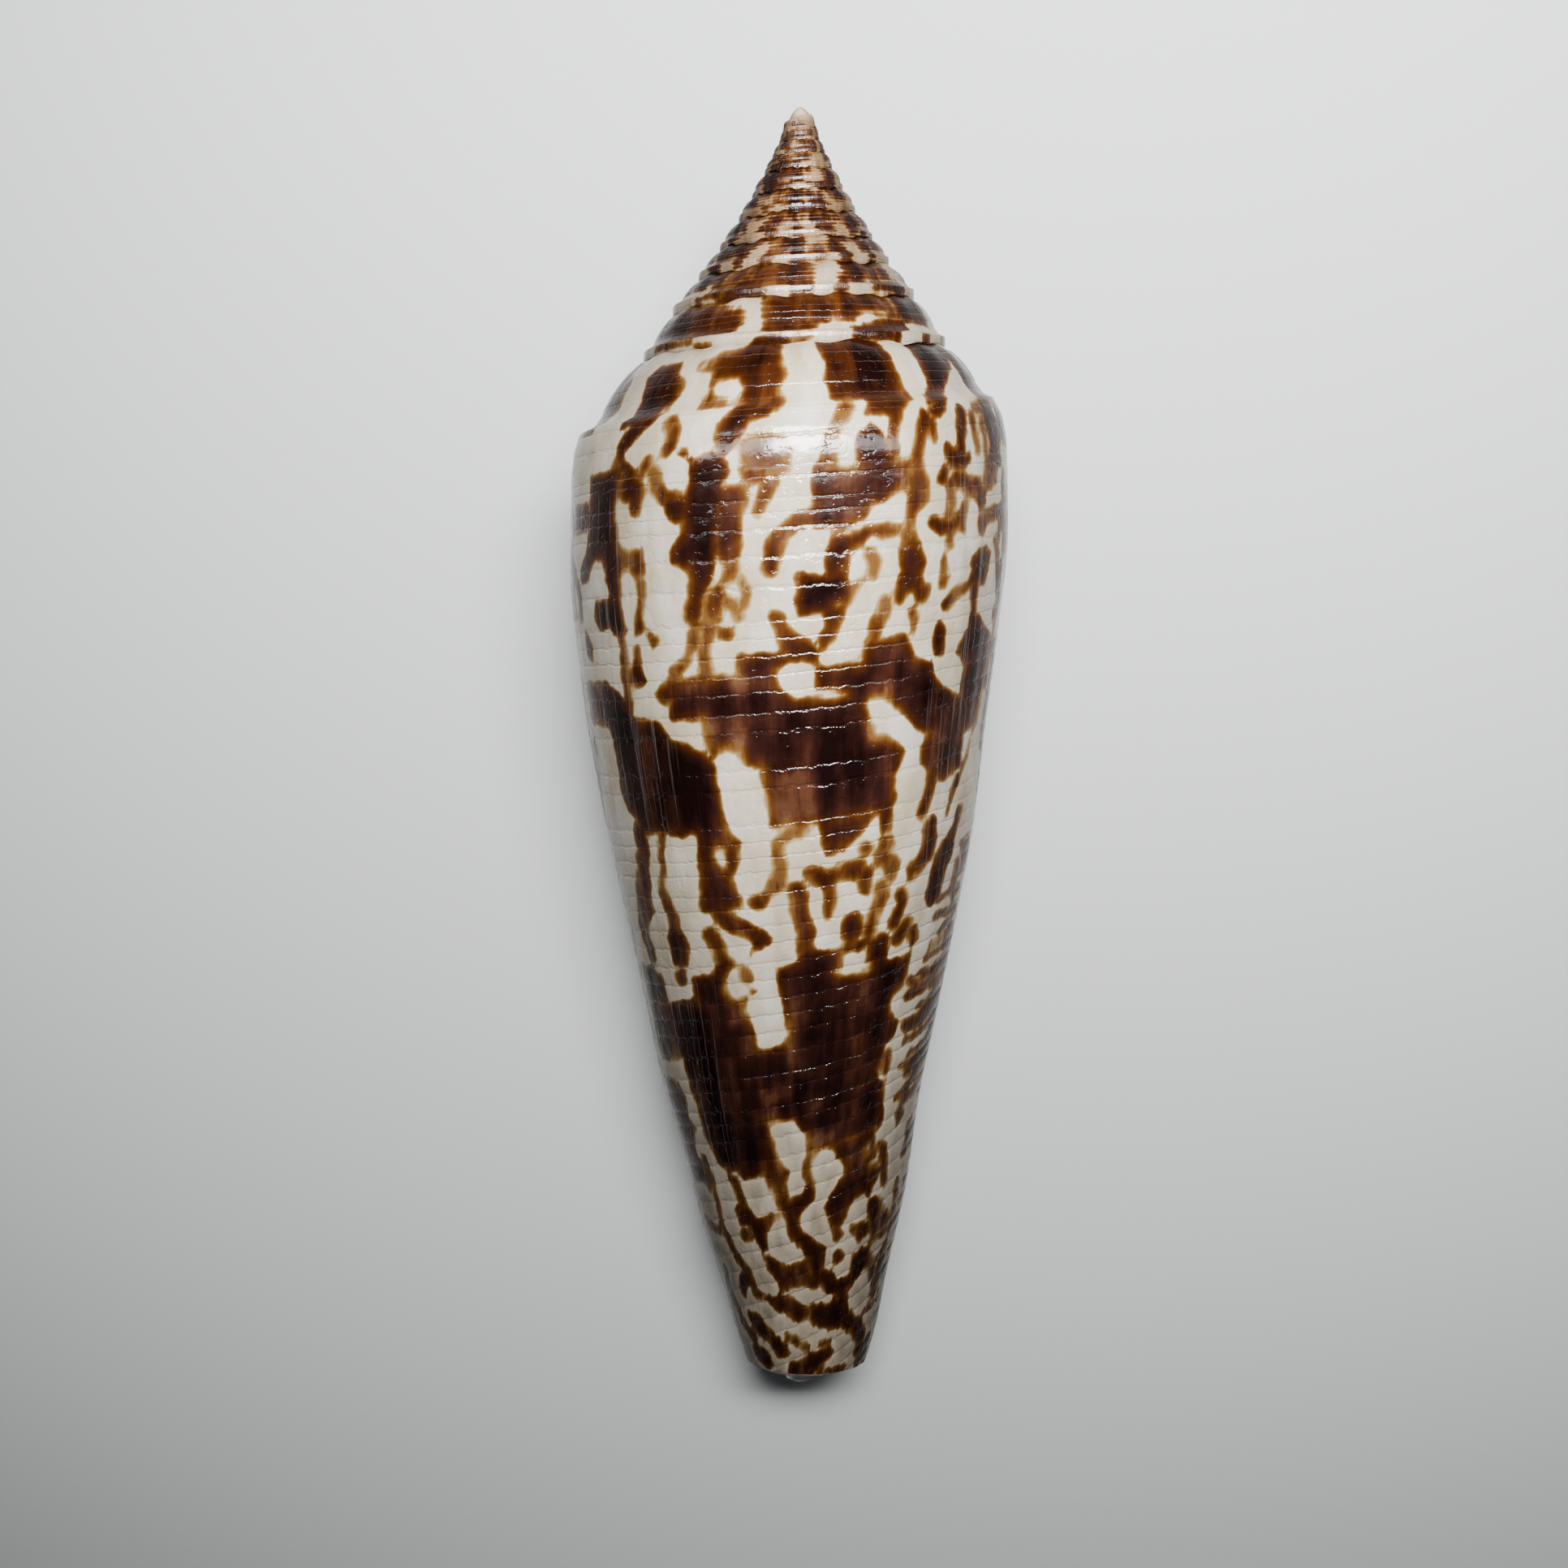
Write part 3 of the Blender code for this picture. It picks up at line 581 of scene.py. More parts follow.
        (99.5, 42.6), (101.2, 43), (104.3, 43.5))),
    (0.5, 0.4, ((99.5, 42.6), (99.1, 42.6))),
    (0.5, 0.35, ((105.7, 43.4), (105.3, 43.4))),
    # Between the middle band and the lower band
    (0.5, 0.25, ((134.3, 39.5), (135.5, 40.25), (136.2, 41.25), (137.8, 42), (138.2, 42.6), (137, 43.4),
        (135.5, 44), (135.8, 44.6))),
    (0.7, 0.4, ((144.3, 39.25), (143.5, 40.25), (145.8, 41.25), (146.6, 42.25), (149, 42.75),
        (148.2, 43.75))),
    (0.95, 0.6, ((136, 45.4), (136, 46.2))),
    (0.6, 0.35, ((122.4, 45), (120.5, 45.6), (119.7, 46.4), (117.4, 46.9))),
    (0.9, 0.4, ((117.4, 44), (113.5, 44.6), (109, 45.1), (104.5, 45.6), (105.8, 46.4))),
    (0.7, 0.33, ((88.2, 42.1), (86.6, 42.5), (84.3, 42.75), (80.5, 42.4))),
    (0.8, 0, ((80.5, 41.9), (72.8, 41.9), (73, 42.75), (79, 42.8))),
    (0.4, 0.2, ((83.2, 42.75), (83.8, 44.7))),
    (0.6, 0.4, ((94, 43), (92.4, 43.5), (93.2, 44.1), (92, 44.9), (91.2, 45.6), (92, 46.4), (90.5, 46.9))),
    (0.5, 0.33, ((72, 42.75), (71.6, 43.5))),
    (0.5, 0.3, ((72.7, 41.2), (72.3, 41.2))),
    (0.7, 0.4, ((65.8, 41.25), (66.6, 42), (64.3, 42.4), (63.2, 43))),
    (0.6, 0.35, ((67, 43.6), (66.2, 44.25), (67.4, 44.75), (69.3, 45.4), (69.7, 46.25))),
    (0.6, 0.25, ((56.2, 43.1), (55.5, 43.6))),
    (0.5, 0.25, ((59.3, 44.4), (57.8, 44.9), (59.7, 45.5), (60.5, 46))),
    (0.9, 0.5, ((76.2, 45.4), (76.2, 46))),
    (0.6, 0.3, ((55, 46.3), (56.6, 46.9), (58, 47.1))),
    (0.9, 0.5, ((48.5, 40.9), (48.2, 41.75), (49.7, 42.5), (53.5, 43))),
    (0.9, 0.3, ((49.7, 37.9), (50.5, 38.9), (52.8, 39.9))),
    (0.5, 0.2, ((36.6, 38.6), (38.9, 39.4), (41.2, 40.5))),
    (0.5, 0.33, ((33.5, 40.75), (35.8, 41.75), (38.2, 42.25))),
    (0.85, 0.7, ((39.7, 42.75), (42, 43.75), (43.5, 45))),
    (0.4, 0.28, ((137.2, 47.5), (136.8, 47.5))),
    (0.5, 0.3, ((112.5, 47.3), (111.5, 47.7))),
    # The lower band
    (0.95, 0, ((163, 49.1), (131, 49), (131.2, 47.6), (122.5, 47.5), (121, 46.8), (118, 46.8), (119, 48),
        (120, 48.4), (115.8, 49.1), (100.5, 48.2), (100.3, 47.4), (93.5, 47.3), (92.8, 46.6), (83.5, 46.9),
        (67.4, 46.6), (66, 46.5), (63.5, 47), (63.3, 48.4), (55, 48.6), (51.2, 48.25), (51.6, 49.4),
        (52.8, 49.9), (55, 50.4), (57.8, 50.6), (58.5, 51), (57, 52), (53.5, 52.5), (55, 53.1),
        (59.3, 53.5), (59.7, 54), (60.5, 54.75), (59.7, 55.6), (56.6, 56), (56.2, 56.75), (55, 57.1),
        (55.8, 58.6), (57, 58.9), (110, 58.9), (109.5, 59.8), (113, 59.6), (121, 59.6), (123, 59),
        (134, 58.9), (136.6, 58), (138.2, 57), (139.7, 56), (140.5, 55.5), (139, 55.25), (141.5, 54.5),
        (142, 53.6), (143.5, 52.2), (163, 52.4))),
    (CLEAR, 0, ((110, 46), (109.3, 46.75), (110, 47.6), (109.3, 48.5), (112, 49), (112.8, 49.5),
        (111.6, 50.1), (110, 51), (109.7, 51.9), (105.8, 52.1), (98.9, 51.9), (97.2, 51.5), (98.2, 50.1),
        (98.9, 49), (99.8, 48.5), (100.5, 48), (100.5, 47.4), (100, 46))),
    (CLEAR, 0, ((117.5, 47.1), (113.5, 47), (112.8, 48.3), (115, 48.7), (117, 48.4))),
    (CLEAR, 0, ((79.3, 47), (70, 47), (69.3, 47.9), (67.4, 48.1), (67, 48.6), (71.2, 48.75), (78.2, 48.6),
        (81.2, 48.4), (83.2, 48.05), (79.7, 47.95))),
    (CLEAR, 0, ((108, 56.5), (96, 56.4), (93.5, 57.2), (91.2, 57.6), (90.3, 58.4), (90.5, 58.9), (92, 59.9),
        (90.5, 60.6), (90.8, 61.1), (92.8, 61.55), (98.2, 61.6), (100.8, 61.3), (101.5, 60.9), (102, 60.1),
        (101, 59.75), (102.8, 59.4), (105.8, 58.75), (107, 58), (107.5, 57))),
    (0.5, 0.2, ((49.7, 50), (45.5, 50.7))),
    (0.4, 0.25, ((56, 54.3), (55.8, 55.3))),
    (0.6, 0.3, ((52.5, 47), (51, 47.6))),
    (0.6, 0, ((50.5, 52.7), (42, 52.6), (28, 52), (28, 53), (41, 53.4), (48, 53.2))),
    (0.5, 0.25, ((49, 51.1), (38, 50.9), (28, 50.5))),
    (0.6, 0, ((48, 55.6), (36, 55.4), (30, 55.8), (31, 56.4), (44, 56.3))),
    (0.5, 0, ((147, 41), (144, 41.2), (146, 42.5), (145, 43.8), (149, 44.3), (152, 45), (150, 46.4),
        (154, 46.5), (156, 44.5), (154, 43), (151, 42))),
    (0.55, 0, ((164, 47), (155, 47), (148, 47.6), (146.5, 49.1), (164, 49.2))),
    (0.6, 0, ((164, 53.5), (151, 53.8), (147.5, 54.8), (149, 55.6), (147, 56.5), (152, 57.4), (151, 58.4),
        (145, 59), (142, 60), (145, 60.4), (152, 59.7), (164, 59.5))),
    (0.7, 0.16, ((40, 45.7), (31, 45.6), (22, 45.9))),
    (0.6, 0.16, ((40, 46.7), (31, 46.9), (22, 47))),
    (0.7, 0.12, ((36, 47.9), (22, 47.4))),
    (0.8, 0.1, ((40, 48.4), (22, 48.3))),
    (0.55, 0.14, ((42, 49.2), (30, 49.2), (22, 49))),
    (0.6, 0, ((46, 49.8), (38, 50.1), (30, 49.8), (22, 49.9), (22, 50.4), (34, 50.6), (42, 50.4))),
    (0.75, 0.16, ((48, 51.1), (38, 51.2), (22, 50.9))),
    (0.7, 0.14, ((42, 52.2), (30, 52), (22, 51.7))),
    (0.85, 0, ((48.5, 52.8), (40, 52.9), (30, 52.8), (22, 52.5), (22, 53), (36, 53.5), (46, 53.4))),
    (0.6, 0.14, ((46, 54), (34, 54.1), (22, 53.8))),
    (0.8, 0.13, ((42, 55), (32, 55.1), (22, 54.8))),
    (0.85, 0, ((46.5, 55.8), (38, 55.6), (30, 55.6), (25, 56), (31, 56.5), (43, 56.4))),
    (0.6, 0.15, ((47, 57.7), (36, 57.2), (22, 57.4))),
    (0.6, 0.12, ((42, 58.2), (30, 58.3), (22, 58))),
    (0.8, 0, ((58, 57.9), (54, 58.2), (53.5, 59), (57, 59.2))),
    (0.7, 0, ((45, 58.7), (41, 58.6), (38, 59.3), (42, 59.6))),
    # The network below it, down to the anterior end
    (0.4, 0.14, ((89, 58.9), (91.2, 59.7), (90.5, 60.3), (88.5, 61))),
    (0.95, 0, ((111, 58.5), (110, 59.8), (106.5, 60.5), (105, 61.5), (103.2, 62.3), (100, 63), (97.5, 63.9),
        (93, 64.8), (90.5, 65.4), (89.5, 66.2), (86.5, 67), (83, 67.5), (81, 68), (77, 68.6), (72, 68.9),
        (67, 69.2), (62, 68.8), (61.5, 68), (65, 68.3), (72, 68.2), (78, 67.3), (81.5, 66.8), (82.5, 66.2),
        (81.5, 65.5), (85, 65), (90, 64.3), (94, 63.9), (96.5, 63.2), (96, 62.5), (92, 62.2), (88, 61.9),
        (87.3, 61.3), (90, 60.9), (92.5, 61.6), (99, 61.6), (101.8, 61), (101.3, 60.4), (99.8, 59.8),
        (102.5, 59.3), (105.5, 58.6))),
    (0.85, 0.07, ((120, 62.5), (112, 62.5), (103.5, 62.4))),
    (0.55, 0.09, ((129.5, 59.5), (126, 60.3), (123.5, 61.3), (121, 62), (119, 62.4))),
    (0.7, 0, ((128, 61.6), (124, 61.7), (120.5, 62.1), (118, 62.6), (126, 62.4))),
    (0.9, 0, ((119.5, 62.6), (114, 62.6), (112.5, 63), (113, 64.3), (115.3, 64.4), (118, 63.5))),
    (0.35, 0.18, ((125, 63.2), (121.5, 63.4))),
    (0.85, 0, ((114, 64.8), (110.5, 65.1), (106, 65.6), (100, 65.9), (92, 65.8), (89, 66.4), (86, 67.1),
        (84, 67.8), (92, 67.4), (99, 67.2), (103, 67.4), (106.5, 66.9), (109.5, 66.2), (112.5, 65.6))),
    (0.75, 0.13, ((145.5, 58.5), (142.5, 59.6), (141.3, 61), (140.5, 62.3), (137.5, 63.4), (134, 64.5),
        (130.5, 65.2), (128, 66), (125.5, 66.9), (120, 67.4), (112, 67.8), (106, 68))),
    (0.85, 0, ((139, 66.4), (134, 65.7), (129, 65.2), (126.5, 65.7), (126, 66.5), (131, 66.4), (136, 67))),
    (0.7, 0.14, ((151, 65.2), (154.5, 66), (153, 66.8), (149, 67.6), (146, 68.5), (141, 69.3),
        (136, 69.9))),
    (0.6, 0.1, ((158, 62), (150, 62.6), (142, 62.8), (138, 63.4))),
    (0.9, 0, ((112.5, 67.8), (108, 67.9), (103, 67.8), (99, 68.2), (96, 68.7), (92, 69), (87.5, 69.2),
        (92, 69.6), (100, 69.4), (106, 68.9), (110, 68.4))),
    (0.9, 0, ((77.5, 58.8), (75.5, 59.7), (72.5, 60.4), (71, 61.1), (78, 62.1), (81, 62.6), (78.5, 63.2),
        (77.5, 64), (73, 64.4), (70.5, 64), (69.5, 63.2), (66, 62.8), (60, 62.9), (57, 63.2), (55, 62.4),
        (51, 62), (57, 61.4), (60, 60.8), (62, 60), (58, 59.5), (57.5, 58.8))),
    (0.8, 0.1, ((58, 59.8), (56.5, 60.6), (59, 61))),
    (0.5, 0.18, ((74.3, 64.3), (72.8, 65))),
    (0.8, 0.12, ((53, 60.2), (49.7, 60.8), (48.7, 61.7), (47.2, 62.5), (45.8, 63.2))),
    (0.85, 0, ((56.5, 63.8), (51, 63.9), (46.5, 64.3), (44.5, 65), (47, 65.3), (53, 65.1))),
    (0.55, 0, ((66.8, 64.7), (61, 64.9), (56, 65.2), (53, 65.7), (58, 65.9), (62.5, 65.5))),
    (0.8, 0, ((53, 65.5), (47, 65.1), (40, 65.3), (36.5, 66), (40, 66.5), (50, 66.2))),
    (0.5, 0, ((75, 66), (72.5, 66.1), (70.3, 66.7), (73, 66.7))),
    (0.65, 0.13, ((49, 66.6), (36, 66.9), (22, 66.7))),
    (0.65, 0, ((62.5, 66.9), (57, 66.8), (51, 67.3), (47, 67.9), (43.5, 68.6), (41, 69.5), (44, 69.6),
        (48, 68.7), (52, 68.1), (57.5, 68.6), (61.5, 69), (62, 68))),
    (0.85, 0, ((89, 69.1), (82, 69.2), (75, 69.5), (68, 69.5), (66, 69.2), (64, 69.9), (61.5, 70.9),
        (57, 71.4), (52, 71.8), (48, 72.1), (44, 72.8), (40, 73.6), (37, 74.6), (41, 75), (45.5, 74.8),
        (47.5, 73.8), (52, 72.9), (57, 72.2), (63, 71.6), (70, 71.4), (76, 71), (80, 70.6), (85, 70.3),
        (86.5, 69.9), (84, 69.6))),
    (0.6, 0.1, ((106, 70.3), (101.5, 70.8), (97, 71.3), (91.5, 71.8))),
    (0.9, 0, ((122, 69.8), (118, 70), (113, 70.5), (109, 70.9), (104.5, 71.6), (107.5, 71.9), (113, 71.5),
        (117, 70.9))),
    (0.9, 0, ((138, 70.6), (133, 70.6), (127, 70.9), (123, 71.5), (121.5, 72), (128, 71.9), (133, 71.5),
        (137, 71))),
    (0.85, 0, ((136, 68.3), (130, 68.4), (125, 69), (120, 69.6), (117, 70.1), (121, 70.2), (127, 69.8),
        (132, 69.2))),
    (0.75, 0, ((107, 72.7), (104, 72.4), (97, 72.5), (90, 72.5), (82, 72.5), (75, 72.6), (70.5, 73),
        (73, 73.4), (80, 73.5), (88, 73.8), (95, 73.7), (101, 73.4))),
    (0.5, 0.15, ((79, 71.9), (75, 72.2))),
    (0.7, 0.1, ((78, 74), (70, 74.5), (62, 74.8), (55, 75.1))),
    (0.75, 0.18, ((41, 68.5), (33, 68.4), (22, 68.8))),
    (0.7, 0, ((40, 70.3), (33, 70.1), (22, 69.6), (22, 70.4), (30, 70.9), (36, 70.8))),
    (0.7, 0.16, ((42, 71.9), (32, 72.1), (22, 71.7))),
)
# Inside the large blocks the brown changes from place to place
TONE_ZONES = (
    (0.62, ((100, 36.3), (86.5, 36.3), (86.5, 39.3), (100, 39.3))),
    (0.3, ((75, 33.9), (67.5, 33.9), (66, 35.3), (72, 35.4))),
    (0.42, ((117, 33.2), (104, 34), (105, 35.6), (117, 35.3))),
    (0.6, ((124.5, 31), (97, 31), (97, 32), (124.5, 32))),
    (0.55, ((117, 33.2), (95, 33.1), (95, 34), (117, 34))),
    (1.0, ((93, 33), (76, 33.2), (76, 36.2), (93, 36.2))),
    (1.1, ((127, 35.3), (114, 35.2), (112.5, 39.3), (127, 39.3))),
    (0.75, ((150, 34), (134, 34), (134, 39.3), (150, 39.3))),
    (0.75, ((56, 34), (36, 34), (36, 38.5), (54, 38.5))),
    (0.2, ((108.5, 54.5), (97.5, 54.4), (97, 55.3), (108, 55.4))),
    (0.45, ((112, 55.7), (103, 55.7), (103, 56.4), (111.5, 56.4))),
    (0.6, ((98, 52), (85, 52), (85, 54.3), (98, 54.3))),
    (0.7, ((84, 51.2), (70, 51.2), (70, 54.4), (84, 54.4))),
    (0.25, ((92, 57.7), (77, 57.7), (76, 58.9), (91, 59))),
    (0.5, ((90, 55.5), (82, 55.5), (82, 56.4), (90, 56.4))),
    (0.4, ((143, 53.5), (134, 53.7), (134, 55.2), (142, 55.4))),
    (0.5, ((164, 49.1), (141, 49.2), (139, 52), (148, 52.6), (164, 52.6))),
    (0.2, ((121, 47.6), (113, 47.6), (111.5, 50), (119, 50.4))),
    (0.7, ((97, 49.2), (66, 49.2), (66, 51.2), (97, 51.2))),
    (0.35, ((98, 67.5), (104, 66), (89, 65.9), (88, 67.3))),
    (0.55, ((70, 59), (58, 59.5), (50, 62), (69, 62))),
)


def unroll(piece):
    """Angle, row and share of the way between two keels of every vertex, worked back from its place."""
    own = (corners_of(piece) / MM / fit - shift) @ turned
    height = np.maximum(-own[:, 1], 0.0)
    lean = BOW_WIDTH * smooth_step(height, BOW_START, BOW_END)
    angle = np.arctan2(own[:, 2], own[:, 0] - lean)
    angle = LIP_ANGLE - (LIP_ANGLE - angle) % TURN
    while True:
        above = (height < keel_height(angle - TURN) - 1e-3) & (angle - TURN > LIP_ANGLE - WHORLS * TURN)
        if not above.any():
            break
        angle = np.where(above, angle - TURN, angle)
    row = np.where(angle > LIP_ANGLE - TURN, row_of(height, angle), height)
    above = keel_height(angle - TURN)
    return angle, row, (height - above) / np.maximum(keel_height(angle) - above, 0.1)


def ring_radius(row):
    """About how far out the surface is at a row; rows of the bare faces are counted apart, below zero."""
    row = np.where(row < 0, row + FACE_SHEET, row)
    return np.where(row < SHOULDER, spire_radius(np.maximum(row, 0.5)), smooth_curve(BODY_OUTLINE, row))


def mark_depth(degrees, row, half_width, points):
    """How far inside a mark each place lies, in mm; outside it is below zero."""
    marks = np.array(points, float)
    middle = marks[:, 0].mean()
    across = np.radians(degrees - middle) * ring_radius(row)
    corner_x = np.radians(marks[:, 0] - middle) * ring_radius(marks[:, 1])
    corner_y = marks[:, 1]
    nearest = np.full(len(degrees), np.inf)
    inside = np.zeros(len(degrees), bool)
    last = len(marks) if half_width == 0 else len(marks) - 1
    for i in range(last):
        j = (i + 1) % len(marks)
        run_x, run_y = corner_x[j] - corner_x[i], corner_y[j] - corner_y[i]
        off_x, off_y = across - corner_x[i], row - corner_y[i]
        along = np.clip((off_x * run_x + off_y * run_y) / (run_x ** 2 + run_y ** 2), 0.0, 1.0)
        nearest = np.minimum(nearest, np.hypot(off_x - along * run_x, off_y - along * run_y))
        if half_width == 0 and run_y != 0:
            crosses = (row < corner_y[i]) != (row < corner_y[j])
            inside ^= crosses & (off_x < off_y * run_x / run_y)
    return half_width - nearest if half_width else np.where(inside, nearest, -nearest)


def paint(degrees, row, marks):
    """Depth inside the brown and tone of the brown at each place."""
    depth = np.full(len(degrees), -MARK_REACH)
    tone = np.full(len(degrees), 0.5)
    for mark_tone, half_width, points in marks:
        corner = np.array(points, float)
        margin = MARK_REACH + half_width
        wide = np.degrees(margin / ring_radius(corner[:, 1]).min())
        middle, reach = (corner.min(axis=0) + corner.max(axis=0)) / 2, np.ptp(corner, axis=0) / 2
        near = np.abs(row - middle[1]) < reach[1] + margin
        near &= np.abs(degrees - middle[0]) < reach[0] + wide
        inside = mark_depth(degrees[near], row[near], half_width, points)
        if mark_tone == CLEAR:
            depth[near] = np.minimum(depth[near], -inside)
        else:
            deeper = inside > depth[near]
            tone[near] = np.where(deeper, mark_tone, tone[near])
            depth[near] = np.where(deeper, inside, depth[near])
    return depth, tone


# On the spire each turn has marks of its own, given as degrees and as shares of the way from the turn before;
# the bare faces have theirs apart
FACE_MARKS = (
    (0, 0.5, ((155, 0.0), (133, 0.0), (134, 0.05), (155, 0.06))),
    (0, 0.85, ((131, 0.1), (124, 0.12), (122, 0.3), (133, 0.3))),
    (0, 0.8, ((107, 0.13), (103, 0.06), (94, 0.1), (93, 0.3), (106, 0.3))),
    (0, 0.35, ((93, 0.05), (87, 0.05), (86, 0.3), (93, 0.3))),
    (0, 0.75, ((69, -0.1), (53, -0.1), (53, 0.12), (69, 0.1))),
    (0, 0.9, ((53, -0.1), (50.5, -0.1), (50.5, 0.3), (53, 0.3))),
    (0, 0.45, ((37, 0.0), (32.5, 0.0), (33, 0.3), (36.5, 0.3))),
    (1, 0.6, ((146, 0.3), (142, 0.08), (139, 0.12), (141, 0.3))),
    (1, 0.6, ((138, -0.1), (107, -0.1), (106, 0.3), (128, 0.3), (131, 0.1), (138, 0.08))),
    (1, 0.8, ((94, -0.1), (85, -0.1), (86, 0.1), (92, 0.12))),
    (1, 0.35, ((94, 0.08), (88, 0.08), (88, 0.3), (94, 0.3))),
    (1, 0.4, ((74, 0.05), (69.5, 0.05), (69, 0.3), (74.5, 0.3))),
    (1, 0.7, ((54, -0.1), (30, -0.1), (37, 0.1), (53, 0.13))),
    (2, 0.8, ((131, -0.1), (126, -0.1), (127, 0.18), (130, 0.2))),
    (2, 0.75, ((154, 0.0), (144, 0.0), (143, 0.2), (152, 0.2))),
    (2, 0.6, ((112, -0.1), (107, -0.1), (109, 0.3), (114, 0.3))),
    (2, 0.45, ((95, -0.1), (90, -0.1), (90, 0.3), (95, 0.3))),
    (2, 0.7, ((90, -0.1), (84, -0.1), (86, 0.08), (89, 0.1))),
    (2, 0.55, ((80, -0.1), (75, -0.1), (76, 0.15), (79, 0.15))),
    (2, 0.75, ((65, -0.1), (58, -0.1), (59, 0.12), (64, 0.14))),
    (2, 0.65, ((43, -0.1), (36, -0.1), (37, 0.12), (42, 0.12))),
    (3, 0.75, ((153, -0.1), (142, -0.1), (143, 0.12), (152, 0.12))),
    (3, 0.55, ((116, -0.1), (107, -0.1), (110, 0.12), (115, 0.3))),
    (3, 0.4, ((96, -0.1), (90, -0.1), (90, 0.1), (95, 0.1))),
    (3, 0.7, ((77, -0.1), (63, -0.1), (65, 0.1), (75, 0.1))),
    (3, 0.55, ((50, -0.1), (38, -0.1), (42, 0.08), (49, 0.08))),
    (4, 0.5, ((128, -0.1), (118, -0.1), (120, 0.05), (126, 0.05))),
    (5, 0.6, ((140, -0.1), (100, -0.1), (105, 0.2), (138, 0.3))),
    (4, 0.6, ((108, -0.1), (60, -0.1), (65, 0.3), (100, 0.3))),
    (5, 0.5, ((85, -0.1), (40, -0.1), (45, 0.3), (80, 0.3))),
    (6, 0.6, ((150, -0.1), (90, -0.1), (95, 0.3), (145, 0.3))),
    (7, 0.5, ((120, -0.1), (50, -0.1), (55, 0.3), (115, 0.3))),
    (8, 0.5, ((150, -0.1), (80, -0.1), (85, 0.3), (140, 0.3))),
)
